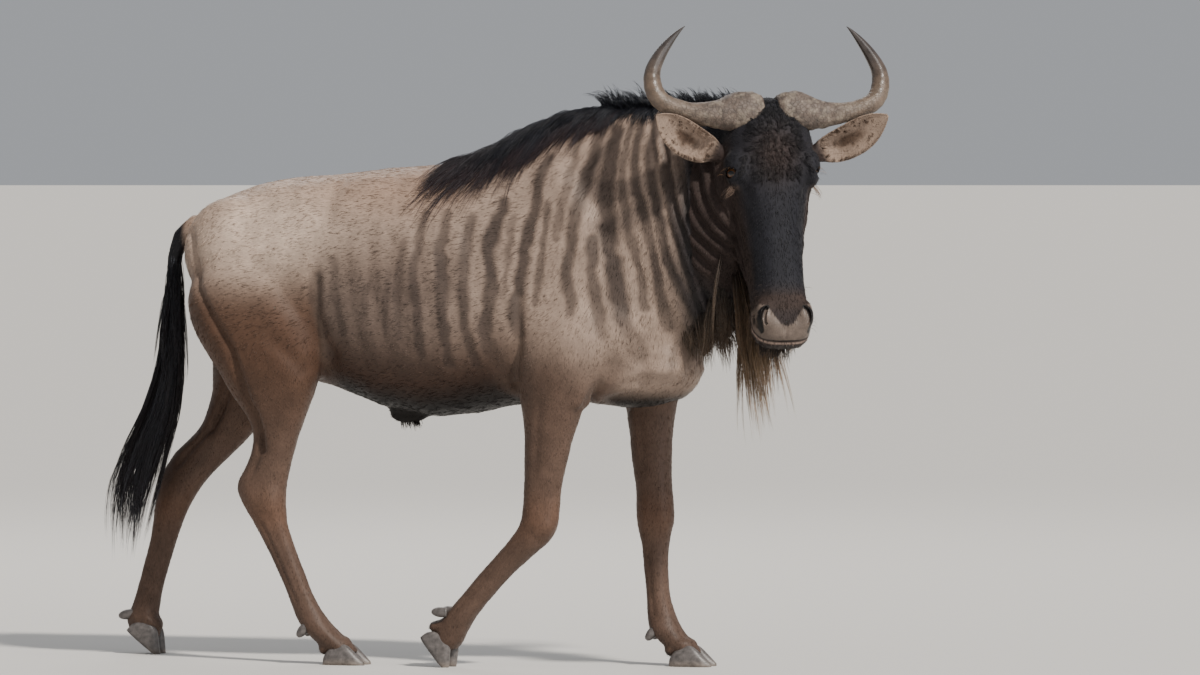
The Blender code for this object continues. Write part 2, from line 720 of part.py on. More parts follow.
def flesh(collection):
    """Trunk, neck, head, legs and dock of the tail as one closed skin."""
    bm = bmesh.new()
    add_trunk(bm)
    add_shoulders(bm)
    add_neck(bm)
    add_skull(bm)
    for levels in (HIND_NEAR, HIND_FAR, FRONT_NEAR, FRONT_FAR):
        add_leg(bm, levels)
    add_tube(bm, [Vector(p) for p, _ in TAIL], [r for _, r in TAIL], up=LEFTWARD)
    body = mesh_object("flesh", bm, collection)
    remesh = body.modifiers.new("skin", "REMESH")
    remesh.mode = "VOXEL"
    remesh.voxel_size = FLESH_VOXEL
    apply_modifiers(body)
    smooth(body, BODY_SMOOTHING, smoothed_more)
    smooth(body, FLESH_SMOOTHING, lambda p: True)
    thin_out(body, HEAD_TRIANGLES, in_head)
    thin_out(body, LEG_TRIANGLES, in_leg)
    thin_out(body, TRUNK_TRIANGLES, in_trunk)
    return body


def blade_plane(name, middle, normal, half_side, collection):
    """A thin square blade, square on to a direction."""
    bm = bmesh.new()
    turn = Vector(normal).to_track_quat("Z", "Y").to_matrix().to_4x4()
    size = Matrix.Diagonal((2 * half_side, 2 * half_side, BLADE, 1))
    bmesh.ops.create_cube(bm, size=1, matrix=Matrix.Translation(middle) @ turn @ size)
    return mesh_object(name, bm, collection)


def blade_bowl(name, middle, radii, depth, collection):
    """A thin dome open below, with straight walls under it, which frees a leg from the trunk."""
    bm = bmesh.new()
    rows = []
    steps = [math.radians(a) for a in (0, 36, 72)]
    for grow in (BLADE / 2, -BLADE / 2):
        shell = []
        for level in (-depth, *[math.sin(a) for a in steps]):
            share = 1.0 if level < 0 else math.sqrt(1 - level * level)
            rise = level if level < 0 else level * (radii[2] + grow)
            half_x, half_y = (radii[0] + grow) * share, (radii[1] + grow) * share
            ring = oval(middle + UP * rise, Vector((1, 0, 0)), LEFTWARD, half_x, half_y, half_y, count=12)
            shell.append([bm.verts.new(p) for p in ring])
        rows.append(shell)
    outer, inner = rows
    count = len(outer[0])
    for shell in rows:
        bm.faces.new(shell[-1])
        for a, b in zip(shell, shell[1:]):
            for i in range(count):
                j = (i + 1) % count
                bm.faces.new((a[i], a[j], b[j], b[i]))
    for i in range(count):
        j = (i + 1) % count
        bm.faces.new((outer[0][i], outer[0][j], inner[0][j], inner[0][i]))
    bmesh.ops.recalc_face_normals(bm, faces=bm.faces)
    return mesh_object(name, bm, collection)


def neck_cut():
    """A point and the direction, towards the head, of the cut between trunk and neck."""
    run = BREAST_CUT - WITHERS_CUT
    return (WITHERS_CUT + BREAST_CUT) / 2, Vector((-run.z, 0, run.x)).normalized()


def head_cut():
    """A point and the direction, towards the face, of the cut between neck and head."""
    nape, throat = head_point(0, *NAPE_CUT), head_point(0, *THROAT_CUT)
    return (nape + throat) / 2, (throat - nape).cross(HEAD_AXES.col[0]).normalized()


# Each leg's dome: middle, radii and depth of its walls, then a point of the finished leg.
DOMES = {
    "leg_hind_right": ((-0.388, -0.160, 0.680), (0.180, 0.150, 0.290), 0.10, (-0.35, -0.13, 0.40)),
    "leg_hind_left": ((-0.465, 0.160, 0.680), (0.178, 0.150, 0.290), 0.07, (-0.65, 0.13, 0.40)),
    "leg_front_right": ((0.345, -0.165, 0.660), (0.126, 0.138, 0.290), 0.10, (0.27, -0.12, 0.40)),
    "leg_front_left": ((0.452, 0.165, 0.660), (0.126, 0.138, 0.290), 0.10, (0.47, 0.12, 0.40)),
}


def part_body(body, collection):
    """Cuts the skin along thin blades and returns its nodes by name."""
    blades = [
        blade_plane("blade_neck", *neck_cut(), NECK_CUT_HALF, collection),
        blade_plane("blade_head", *head_cut(), HEAD_CUT_HALF, collection),
        blade_plane("blade_tail", TAIL_CUT, TAIL_CUT_FACING, TAIL_CUT_HALF, collection),
    ]
    places = {
        "torso": Vector((0.0, 0.0, 0.90)),
        "neck": Vector((0.62, -0.05, 1.0)),
        "head": head_point(0, -0.09, 0.25),
        "tail": Vector((-0.65, 0.0, 0.80)),
    }
    for name, (middle, radii, depth, place) in DOMES.items():
        blades.append(blade_bowl("dome_" + name, Vector(middle), radii, depth, collection))
        places[name] = Vector(place)
    combine(body, blades, "DIFFERENCE")
    bm = bmesh.new()
    bm.from_mesh(body.data)
    nodes = {}
    for group in sorted(islands(bm), key=len, reverse=True)[:len(places)]:
        middle = sum((v.co for v in group), Vector()) / len(group)
        name = min(places, key=lambda n: (places[n] - middle).length)
        kept = {v.index for v in group}
        piece = bm.copy()
        bmesh.ops.delete(piece, geom=[v for v in piece.verts if v.index not in kept], context="VERTS")
        nodes[name] = mesh_object(name, piece, collection)
    bm.free()
    bpy.data.objects.remove(body)
    return nodes


def mouth_point(angle, outward=1.0):
    """A point of the mouth's line, from -MOUTH_TURN at one corner to +MOUTH_TURN at the other."""
    forward = Vector((0, math.sin(MOUTH_SLOPE), math.cos(MOUTH_SLOPE)))
    side = Vector((1, 0, 0))
    place = MOUTH + side * (MOUTH_SIDE * math.sin(angle) * outward)
    place += forward * (MOUTH_FRONT * math.cos(angle) * outward)
    return head_point(*place)


def mouth_cutter(collection):
    bm = bmesh.new()
    steps = 12
    upright = head_way((0, -math.cos(MOUTH_SLOPE), math.sin(MOUTH_SLOPE)))
    rings = []
    for i in range(steps + 1):
        angle = MOUTH_TURN * (2 * i / steps - 1)
        outward = (mouth_point(angle, 1.1) - mouth_point(angle)).normalized()
        thin = MOUTH_HIGH * (1 - 0.5 * abs(2 * i / steps - 1) ** 3)
        rings.append(oval(mouth_point(angle), outward, upright, MOUTH_DEEP, thin, thin, count=6))
    add_loft(bm, rings)
    return mesh_object("mouth", bm, collection)


def nostril_cutter(side, collection):
    bm = bmesh.new()
    points = [head_point(side * away, out, down) for away, out, down in NOSTRIL]
    radii = [NOSTRIL_RADIUS * share for share in (0.8, 1.0, 0.85, 0.4)]
    add_tube(bm, points, radii, count=8, up=HEAD_AXES.col[1])
    return mesh_object("nostril", bm, collection)


def ball(name, middle, radius, collection):
    bm = bmesh.new()
    add_blob(bm, middle, (radius, radius, radius), segments=EYE_SEGMENTS)
    return mesh_object(name, bm, collection)


def eye_opening_cutter(side, collection):
    """A short almond rod along the gaze, which parts the lids."""
    gaze = head_way(EYE_GAZE, side)
    upright = head_way((0, 0, -1), side)
    upright = (upright - gaze * upright.dot(gaze)).normalized()
    across = upright.cross(gaze)
    middle = head_point(side * EYE.x, EYE.y, EYE.z)
    wide, tall = EYE_OPENING
    rings = []
    for reach, share in ((0.4, 1.0), (1.0, 1.0), (2.2, 1.5)):
        at = middle + gaze * (EYE_RADIUS * reach)
        rings.append(oval(at, across, upright, wide * share, tall * share, tall * share, 1.5, 1.5, count=12))
    bm = bmesh.new()
    add_loft(bm, rings)
    return mesh_object("opening", bm, collection)


def finish_head(head, collection):
    """Lids and sockets, the line of the mouth and the nostrils."""
    centres = [head_point(side * EYE.x, EYE.y, EYE.z) for side in (-1, 1)]
    lids = [ball("lid", c, EYE_RADIUS + LID, collection) for c in centres]
    combine(head, lids, "UNION")
    cutters = [ball("socket", c, EYE_RADIUS + 3 * GAP, collection) for c in centres]
    for side in (-1, 1):
        cutters.append(eye_opening_cutter(side, collection))
        cutters.append(nostril_cutter(side, collection))
    cutters.append(mouth_cutter(collection))
    for cutter in cutters:
        combine(head, [cutter], "DIFFERENCE")
    keep_largest(head)


def eyeball(name, side, collection):
    return ball(name, head_point(side * EYE.x, EYE.y, EYE.z), EYE_RADIUS, collection)


def horn(name, side, collection):
    """Boss and horn as one body, to be cut clear of the skull under it."""
    points = [head_point(side * left, front, -above) for left, front, above, _, _ in HORN]
    ways = along(points)
    rings = []
    for p, way, (_, _, _, tall, thick) in zip(points, ways, HORN):
        forward = head_way((0, 1, 0))
        forward = (forward - way * forward.dot(way)).normalized()
        rings.append(oval(p, way.cross(forward), forward, tall, thick, thick, count=10))
    bm = bmesh.new()
    add_loft(bm, rings)
    return mesh_object(name, bm, collection)


def ear(name, side, collection):
    """A leaf-shaped cup, closed to a tube at its root."""
    reach = HEAD_AXES @ Vector((EAR_REACH.x * side, EAR_REACH.y, EAR_REACH.z))
    way = reach.normalized()
    opens = head_way(EAR_OPENS, side)
    opens = (opens - way * opens.dot(way)).normalized()
    across = opens.cross(way)
    root = head_point(EAR_ROOT.x * side, EAR_ROOT.y, EAR_ROOT.z)
    half = 5
    rings = []
    for share, wide, back, cup in EAR:
        at = root + reach * share - UP * (EAR_SAG * math.sin(math.pi * share))
        ring = []
        for i in range(half + 1):
            angle = math.pi * i / half
            ring.append(at + across * (wide * math.cos(angle)) - opens * (back * math.sin(angle)))
        inner = max(wide - EAR_RIM / 2, wide * 0.5)
        for i in range(half + 1):
            angle = math.pi * (1 - i / half)
            depth = cup * math.sin(angle) - EAR_RIM / 3
            ring.append(at + across * (inner * math.cos(angle)) - opens * depth)
        rings.append(ring)
    bm = bmesh.new()
    add_loft(bm, rings)
    bmesh.ops.triangulate(bm, faces=bm.faces)
    return mesh_object(name, bm, collection)


def claw(name, foot, side, collection):
    """One half of a cloven hoof, its toe on the floor, its sole flat."""
    toe, heading, heel, _ = FEET[foot]
    rings = []
    for back, height, half in CLAW:
        ring = []
        for i in range(CLAW_SIDES + 1):
            angle = math.pi * i / CLAW_SIDES
            c, s = math.cos(angle), math.sin(angle)
            y = math.copysign(abs(c) ** 0.75, c) * half * (1 - 0.12 * s)
            ring.append(Vector((-back, y, height * s ** 0.8)))
        rings.append(ring)
    bm = bmesh.new()
    add_loft(bm, rings)
    pivot = Vector((-CLAW[2][0] * 0.15, 0, 0))
    turn = Matrix.Rotation(math.radians(heading), 4, "Z") @ Matrix.Rotation(math.radians(heel), 4, "Y")
    spread = Matrix.Translation((0, CLAW_APART * side, 0)) @ Matrix.Rotation(math.radians(-3 * side), 4, "Z")
    place = Matrix.Translation(toe) @ turn @ Matrix.Translation(-pivot) @ spread
    bm.transform(place)
    return mesh_object(name, bm, collection)


def level_sole(obj, collection):
    """Cuts off whatever a raised foot would put below the floor."""
    bm = bmesh.new()
    bmesh.ops.create_cube(bm, size=1, matrix=Matrix.Translation((0, 0, -0.5)) @ Matrix.Diagonal((3, 1, 1, 1)))
    combine(obj, [mesh_object("floor", bm, collection)], "DIFFERENCE")


def dewclaw(name, foot, side, collection):
    """A blunt little hoof behind the fetlock."""
    _, heading, heel, root = FEET[foot]
    turn = Matrix.Rotation(math.radians(heading), 3, "Z") @ Matrix.Rotation(math.radians(heel), 3, "Y")
    way = turn @ Vector((-0.62, 0.20 * side, -0.75)).normalized()
    start = root + turn @ Vector((0.016, DEWCLAW_APART * side, 0.012))
    points = [start + way * (DEWCLAW_LENGTH * share) for share in (0.0, 0.5, 0.85, 1.0)]
    radii = [DEWCLAW_RADIUS * share for share in (0.95, 1.0, 0.7, 0.3)]
    bm = bmesh.new()
    add_tube(bm, points, radii, count=6, up=LEFTWARD)
    return mesh_object(name, bm, collection)


def between(table, x):
    """Reads a table of pairs in a straight line between its rows."""
    for (x0, y0), (x1, y1) in zip(table, table[1:]):
        if x <= x1:
            share = max(0.0, (x - x0) / (x1 - x0))
            return y0 + (y1 - y0) * share
    return table[-1][1]


def lock(points, faces_out, widths, thick, collection):
    """A flat lock of hair with a ridge along its outer side, which tapers and ends in a point."""
    bm = bmesh.new()
    rows = []
    ways = along(points)
    for i, flat in enumerate(LOCK_THICKS):
        across = ways[i].cross(faces_out[i]).normalized() * (widths[i] / 2)
        ridge = across.cross(ways[i]).normalized() * (thick * flat)
        rows.append([bm.verts.new(points[i] + corner) for corner in (across, ridge, -across)])
    sides = len(rows[0])
    tip = bm.verts.new(points[-1])
    bm.faces.new(rows[0])
    for a, b in zip(rows, rows[1:]):
        for i in range(sides):
            j = (i + 1) % sides
            bm.faces.new((a[i], a[j], b[j], b[i]))
    for i in range(sides):
        bm.faces.new((rows[-1][i], rows[-1][(i + 1) % sides], tip))
    bmesh.ops.recalc_face_normals(bm, faces=bm.faces)
    return mesh_object("lock", bm, collection)


def tapered(width):
    """A lock's widths where its greatest width is known."""
    return [width * share for share in LOCK_WIDTHS]


def tree_of(obj):
    """The object's surface, to lay locks on."""
    bm = bmesh.new()
    bm.from_mesh(obj.data)
    tree = BVHTree.FromBMesh(bm)
    bm.free()
    return tree


def laid_lock(tree, root, starts, ends, length, lift, width, thick, collection):
    """A lock whose root is sunk in the surface at a point and whose length lies over it."""
    place, facing, _, _ = tree.find_nearest(root)
    points = [place - facing * LOCK_SUNK]
    faces_out = [facing]
    for before, share, rise in zip(LOCK_SHARES, LOCK_SHARES[1:], LOCK_RISE):
        way = starts.lerp(ends, before)
        way = (way - facing * way.dot(facing)).normalized()
        place, facing, _, _ = tree.find_nearest(place + way * (length * (share - before)))
        points.append(place + facing * (lift * rise))
        faces_out.append(facing)
    return lock(points, faces_out, tapered(width), thick, collection)


def hung_lock(tree, root, lean, length, facing, width, thick, collection):
    """A lock whose root is sunk in the surface near a point and which hangs free, bending as it falls."""
    place, outward, _, _ = tree.find_nearest(root)
    start = place - outward * LOCK_SUNK
    first = (outward * 0.8 - UP + lean * 0.2).normalized()
    last = lean.normalized()
    points = []
    for share in LOCK_SHARES:
        bend = first.lerp(last, share ** 0.5)
        points.append(start + bend * ((length + LOCK_SUNK) * share))
    return lock(points, [facing] * len(points), tapered(width), thick, collection)


def varied(value, by, rng):
    return value * (1 + rng.uniform(-by, by))


def strayed(way, rng):
    """A direction turned a little at random."""
    return way + Vector([rng.uniform(-WAY_VARIES, WAY_VARIES) for _ in range(3)])


def crest_point(x):
    return Vector([between([(p.x, p[axis]) for p in CREST], x) for axis in range(3)])


def mane_row(tree, row, start, end, rng, collection):
    """Locks that leave the crest one behind the other and fall over one side."""
    side, first, last, count, share = row
    made = []
    for i in range(count):
        x = first + (last - first) * i / (count - 1)
        root = crest_point(x) + Vector((rng.uniform(-ROOT_VARIES, ROOT_VARIES), side * ROOT_VARIES, 0))
        length = varied(between(MANE_LENGTH, x) * share, LENGTH_VARIES, rng)
        leaves = strayed(Vector((-start[0], side * start[1], -start[2])), rng)
        falls = strayed(Vector((-end[0], side * end[1], -end[2])), rng)
        width = varied(min(MANE_WIDTH, MANE_SLIM * length), LENGTH_VARIES, rng)
        lift = MANE_LIFTS[i % len(MANE_LIFTS)] * min(1.0, length / FULL_LIFT_LENGTH)
        made.append(laid_lock(tree, root, leaves, falls, length, lift, width, MANE_THICK, collection))
    return made


def standing_row(tree, row, rng, collection):
    """Short locks that stand on the crest and curl backwards."""
    first, last, count, length, width = row
    made = []
    for i in range(count):
        x = first + (last - first) * i / (count - 1)
        place, outward, _, _ = tree.find_nearest(crest_point(x))
        lean = strayed(Vector((-0.9, 0, 0.5)), rng)
        reach = varied(length, LENGTH_VARIES, rng) + LOCK_SUNK
        points = []
        for share in LOCK_SHARES:
            bend = outward.lerp(lean, share).normalized()
            points.append(place - outward * LOCK_SUNK + bend * (reach * share))
        made.append(lock(points, [LEFTWARD] * len(points), tapered(width), MANE_THICK * 0.8, collection))
    return made


def tail_outline(z):
    """Middle and half sizes of the tail's hair at a level."""
    rows = sorted((middle[2], middle[0], middle[1], deep, wide) for middle, deep, wide in TAIL_HAIR)
    x, y, deep, wide = [between([(row[0], row[k]) for row in rows], z) for k in range(1, 5)]
    return Vector((x, y, z)), deep, wide


def tail_locks(rng, collection):
    """Rings of locks rooted in the dock, each ring under the one above it."""
    made = []
    step = math.tau / TAIL_RING_LOCKS
    for top, bottom, turn in TAIL_RINGS:
        for i in range(TAIL_RING_LOCKS):
            angle = step * (i + turn) + rng.uniform(-WAY_VARIES, WAY_VARIES)
            facing = Vector((math.cos(angle), math.sin(angle), 0))
            fall = varied(top - bottom, LENGTH_VARIES, rng)
            points, widths = [], []
            for share, spread in zip(LOCK_SHARES, TAIL_SPREAD):
                middle, deep, wide = tail_outline(top - fall * share)
                out = Vector((facing.x * deep, facing.y * wide, 0)) * spread
                widths.append(2 * out.length * math.tan(step / 2) * TAIL_LOCK_COVER)
                flare = 1 + TAIL_FLARE * max(0.0, -facing.x) * share ** 3
                points.append(middle + out * flare)
            made.append(lock(points, [facing] * len(points), widths, TAIL_LOCK_THICK, collection))
    return made


def side_box(name, point, facing, collection):
    """A large box that fills one side of a cut, to trim hair that would cross it."""
    bm = bmesh.new()
    turn = facing.to_track_quat("Z", "Y").to_matrix().to_4x4()
    middle = point + facing * (TRIM_REACH - GAP / 2)
    bmesh.ops.create_cube(bm, size=2 * TRIM_REACH, matrix=Matrix.Translation(middle) @ turn)
    return mesh_object(name, bm, collection)


def material(slot):
    made = bpy.data.materials.new(slot)
    made.use_nodes = True
    shader = made.node_tree.nodes["Principled BSDF"]
    shader.inputs["Base Color"].default_value = (*COLOURS[slot], 1)
    shader.inputs["Roughness"].default_value = FINISH[slot]
    made.diffuse_color = (*COLOURS[slot], 1)
    return made


def slot_of(name):
    for start, slot in (("horn", "horn"), ("eye", "eye"), ("claw", "hoof"), ("dewclaw", "hoof"),
                        ("head", "face"), ("tail", "hair")):
        if name.startswith(start):
            return slot
    return "coat"


def fuse_locks(obj, locks, trims=()):
    """Joins locks to their node, trims the node at its cuts and drops loose scraps."""
    combine(obj, locks, "UNION", "MANIFOLD")
    for trim in trims:
        combine(obj, [trim], "DIFFERENCE", "MANIFOLD")
    keep_largest(obj)


def dress_torso(torso, rng, collection):
    """The mane from behind the withers to the neck."""
    tree = tree_of(torso)
    locks = []
    for row in MANE_ON_TORSO:
        locks += mane_row(tree, row, MANE_START, MANE_END, rng, collection)
    locks += standing_row(tree, STANDING_ON_TORSO, rng, collection)
    point, facing = neck_cut()
    fuse_locks(torso, locks, [side_box("trim", point, facing, collection)])


def dress_neck(neck, rng, collection):
    """The mane along the neck and the fringe under the throat."""
    tree = tree_of(neck)
    locks = []
    for row in MANE_ON_NECK:
        locks += mane_row(tree, row, NECK_MANE_START, NECK_MANE_END, rng, collection)
    locks += standing_row(tree, STANDING_ON_NECK, rng, collection)
    across = along([p for p, _ in THROAT])[0].cross(UP).normalized()
    for side in THROAT_ROWS:
        for point, length in THROAT:
            root = point + across * varied(side, LENGTH_VARIES, rng)
            length = varied(length, LENGTH_VARIES, rng)
            lean = strayed(THROAT_LEAN, rng)
            locks.append(hung_lock(tree, root, lean, length, across, BEARD_WIDTH, BEARD_THICK, collection))
    trims = []
    for (point, facing), side in ((neck_cut(), -1), (head_cut(), 1)):
        trims.append(side_box("trim", point, facing * side, collection))
    fuse_locks(neck, locks, trims)


def dress_head(head, rng, collection):
    """The beard under the jaw and the locks over the forehead."""
    tree = tree_of(head)
    locks = []
    for left, front, down, length, turn in BEARD:
        root = head_point(left, front, down)
        facing = head_way((math.cos(math.radians(turn)), math.sin(math.radians(turn)), 0))
        length = varied(length, LENGTH_VARIES / 2, rng)
        lean = strayed(BEARD_LEAN, rng)
        locks.append(hung_lock(tree, root, lean, length, facing, BEARD_WIDTH, BEARD_THICK, collection))
    for left, down, aside, length in FORELOCK:
        root = head_point(left, 0, down)
        way = head_way((aside, 0, 1))
        size = FORELOCK_WIDTH, FORELOCK_THICK
        locks.append(laid_lock(tree, root, way, way, length, FORELOCK_THICK, *size, collection))
    point, facing = head_cut()
    fuse_locks(head, locks, [side_box("trim", point, -facing, collection)])


def set_clear(obj, neighbour, collection):
    """Cuts the object's root to the skin that it grows from, a hair's breadth off it."""
    combine(obj, [grown_copy(neighbour, GAP, collection)], "DIFFERENCE", "MANIFOLD")
    keep_largest(obj)


def centre_all(nodes):
    """Moves the model so that the origin is at the bottom centre of its box."""
    low, high = Vector((1e9,) * 3), Vector((-1e9,) * 3)
    for obj in nodes:
        for v in obj.data.vertices:
            low = Vector(map(min, low, v.co))
            high = Vector(map(max, high, v.co))
    move = -Vector(((low.x + high.x) / 2, (low.y + high.y) / 2, low.z))
    for obj in nodes:
        obj.data.transform(Matrix.Translation(move))
    return move


def main():
    for old in list(bpy.data.objects):
        bpy.data.objects.remove(old)
    collection = bpy.data.collections.new("wildebeest")
    bpy.context.scene.collection.children.link(collection)
    nodes = part_body(flesh(collection), collection)
    finish_head(nodes["head"], collection)
    bare_head = nodes["head"]
    for side, word in ((-1, "right"), (1, "left")):
        nodes["eye_" + word] = eyeball("eye_" + word, side, collection)
        nodes["horn_" + word] = horn("horn_" + word, side, collection)
        nodes["ear_" + word] = ear("ear_" + word, side, collection)
        set_clear(nodes["horn_" + word], bare_head, collection)
        set_clear(nodes["ear_" + word], bare_head, collection)
        set_clear(nodes["ear_" + word], nodes["horn_" + word], collection)
    for foot in FEET:
        leg = nodes["leg_" + foot]
        for side, word in ((-1, "right"), (1, "left")):
            name = f"claw_{foot}_{word}"
            nodes[name] = claw(name, foot, side, collection)
            level_sole(nodes[name], collection)
            set_clear(nodes[name], leg, collection)
            name = f"dewclaw_{foot}_{word}"
            nodes[name] = dewclaw(name, foot, side, collection)
            set_clear(nodes[name], leg, collection)
    rng = random.Random(LOCK_SEED)
    dress_torso(nodes["torso"], rng, collection)
    dress_neck(nodes["neck"], rng, collection)
    dress_head(nodes["head"], rng, collection)
    fuse_locks(nodes["tail"], tail_locks(rng, collection))
    slots = {slot: material(slot) for slot in COLOURS}
    for name, obj in nodes.items():
        obj.data.materials.clear()
        obj.data.materials.append(slots[slot_of(name)])
    return centre_all(nodes.values())


MOVED = main()
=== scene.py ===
"""The looks of a walking blue wildebeest bull with its head turned to its right.

Metres. Shapes are placed in the same measures as the solids and moved into the frame at the end: +X is
towards the chest, +Y to the animal's left and +Z up, from a point on the floor under the back.
"""

import math
from collections import namedtuple

import bmesh
import bpy
import numpy as np
from mathutils import Matrix, Vector
from mathutils.bvhtree import BVHTree
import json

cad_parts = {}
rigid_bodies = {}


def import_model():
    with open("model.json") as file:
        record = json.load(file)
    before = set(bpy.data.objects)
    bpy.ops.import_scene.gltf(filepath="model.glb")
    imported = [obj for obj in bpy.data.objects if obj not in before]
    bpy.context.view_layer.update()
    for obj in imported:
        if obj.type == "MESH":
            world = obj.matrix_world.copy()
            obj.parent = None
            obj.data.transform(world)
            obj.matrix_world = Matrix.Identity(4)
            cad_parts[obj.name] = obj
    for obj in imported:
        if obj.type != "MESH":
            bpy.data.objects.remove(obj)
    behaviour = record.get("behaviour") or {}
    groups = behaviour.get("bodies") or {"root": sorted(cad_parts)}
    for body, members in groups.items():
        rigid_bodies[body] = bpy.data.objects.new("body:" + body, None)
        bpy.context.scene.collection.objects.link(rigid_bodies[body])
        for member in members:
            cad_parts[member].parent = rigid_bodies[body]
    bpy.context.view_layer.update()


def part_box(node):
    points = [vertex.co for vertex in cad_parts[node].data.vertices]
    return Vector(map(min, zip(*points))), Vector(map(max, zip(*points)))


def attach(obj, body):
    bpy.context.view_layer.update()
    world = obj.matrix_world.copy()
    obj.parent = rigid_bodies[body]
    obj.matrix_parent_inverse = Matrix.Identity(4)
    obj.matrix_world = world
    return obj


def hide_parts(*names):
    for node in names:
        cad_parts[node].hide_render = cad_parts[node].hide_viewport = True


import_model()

UP = Vector((0, 0, 1))
LEFTWARD = Vector((0, 1, 0))
SIDES = {-1: "right", 1: "left"}
RANDOM_SEED = 7

# The skin: size of the cells that join its forms, rounds of smoothing, points in a ring of a loft, and
# the lowest and rearmost places that are smoothed more.
VOXEL = 0.005
TRUNK_SMOOTHING = 50
ALL_SMOOTHING = 9
HEAD_SMOOTHING = 3
RING = 32
TRUNK_LOWEST = 0.5
TRUNK_REARMOST = -0.60
# What counts as head: its middle in the head's own measures, how far it reaches, and where it starts.
HEAD_MIDDLE = (0, -0.06, 0.27)
HEAD_REACH = 0.36
HEAD_FROM = 0.72

# The camera: where the photograph was taken from, and its lens.
VIEW_TURN = math.radians(20)
VIEW_MIDDLE = 0.3636
VIEW_LEVEL = 0.742
VIEW_AWAY = 22.0
VIEW_RISE = math.radians(1.7)
LENS = 290.4
SENSOR = 36.0

# The head: the top of the forehead, and how the head is turned, dipped and rolled.
POLL = Vector((0.854, -0.157, 1.275))
HEAD_TURN = math.radians(-57)
HEAD_DIP = math.radians(75)
HEAD_ROLL = math.radians(-0.1)
HEAD_SIZE = 0.975
NAPE_CUT = (-0.150, -0.040)
THROAT_CUT = (-0.226, 0.420)

EYE = Vector((0.0865, -0.046, 0.153))
EYE_GAZE = Vector((0.76, 0.65, 0.04))
EYE_RADIUS = 0.0195
LID = 0.0028
EYE_OPENING = (0.0195, 0.0120)
# The rod that parts the lids: places along the gaze in radii of the eye, and its size there.
LID_ROD = ((0.4, 1.0), (1.0, 1.0), (2.2, 1.5))
SOCKET_GAP = 0.0005
IRIS_RADIUS = 0.62
CORNEA_RISE = 0.035
PUPIL_HALF = (0.46, 0.27)

# The trunk, from the rump to the breast: station, top, bottom, half width, height of the widest part,
# and how square the upper and lower halves are.
TRUNK = (
    (-0.598, 1.000, 0.915, 0.035, 0.955, 2.0, 2.0),
    (-0.584, 1.022, 0.830, 0.078, 0.925, 2.0, 2.0),
    (-0.555, 1.046, 0.755, 0.122, 0.900, 2.0, 2.0),
    (-0.500, 1.071, 0.705, 0.156, 0.890, 2.1, 2.0),
    (-0.430, 1.094, 0.672, 0.178, 0.890, 2.2, 2.0),
    (-0.340, 1.109, 0.650, 0.190, 0.880, 2.2, 2.0),
    (-0.240, 1.116, 0.622, 0.200, 0.850, 2.2, 2.1),
    (-0.120, 1.131, 0.580, 0.220, 0.810, 2.1, 2.2),
    (0.000, 1.139, 0.560, 0.230, 0.800, 2.0, 2.2),
    (0.090, 1.152, 0.568, 0.226, 0.800, 1.9, 2.2),
    (0.150, 1.180, 0.582, 0.216, 0.810, 1.75, 2.2),
    (0.210, 1.212, 0.592, 0.206, 0.820, 1.65, 2.2),
    (0.280, 1.242, 0.598, 0.198, 0.840, 1.6, 2.2),
    (0.350, 1.262, 0.596, 0.192, 0.850, 1.6, 2.1),
    (0.420, 1.268, 0.588, 0.180, 0.850, 1.6, 2.1),
    (0.490, 1.252, 0.590, 0.160, 0.850, 1.7, 2.1),
    (0.550, 1.200, 0.606, 0.132, 0.850, 1.9, 2.1),
    (0.595, 1.120, 0.640, 0.096, 0.850, 2.0, 2.0),
    (0.622, 1.000, 0.710, 0.052, 0.850, 2.0, 2.0),
)
FLANK_FORMS = (
    ((-0.290, 0.095, 1.005), (0.130, 0.070, 0.060)),
    ((-0.465, 0.098, 0.935), (0.125, 0.080, 0.130)),
)
BELLY_FORMS = (
    ((0.555, -0.010, 0.690), (0.080, 0.105, 0.090)),
    ((0.470, 0.000, 0.640), (0.120, 0.110, 0.055)),
    ((-0.075, 0.000, 0.566), (0.055, 0.022, 0.026)),
)
ELBOWS = ((-1, 0.300), (1, 0.400))
BLADE_LEAN = math.radians(-24)
SHOULDER_FORMS = (
    ((0.085, 0.098, 0.940), (0.105, 0.080, 0.235), BLADE_LEAN),
    ((0.150, 0.108, 0.780), (0.090, 0.066, 0.100), 0),
    ((-0.015, 0.125, 0.665), (0.050, 0.048, 0.065), 0),
)
NECK = (
    ((0.360, 0.000, 0.960), 0.280, 0.145),
    ((0.490, -0.006, 0.965), 0.302, 0.144),
    ((0.590, -0.026, 0.988), 0.284, 0.132),
    ((0.672, -0.052, 1.020), 0.250, 0.118),
    ((0.740, -0.080, 1.052), 0.214, 0.108),
    ((0.800, -0.112, 1.085), 0.168, 0.094),
)
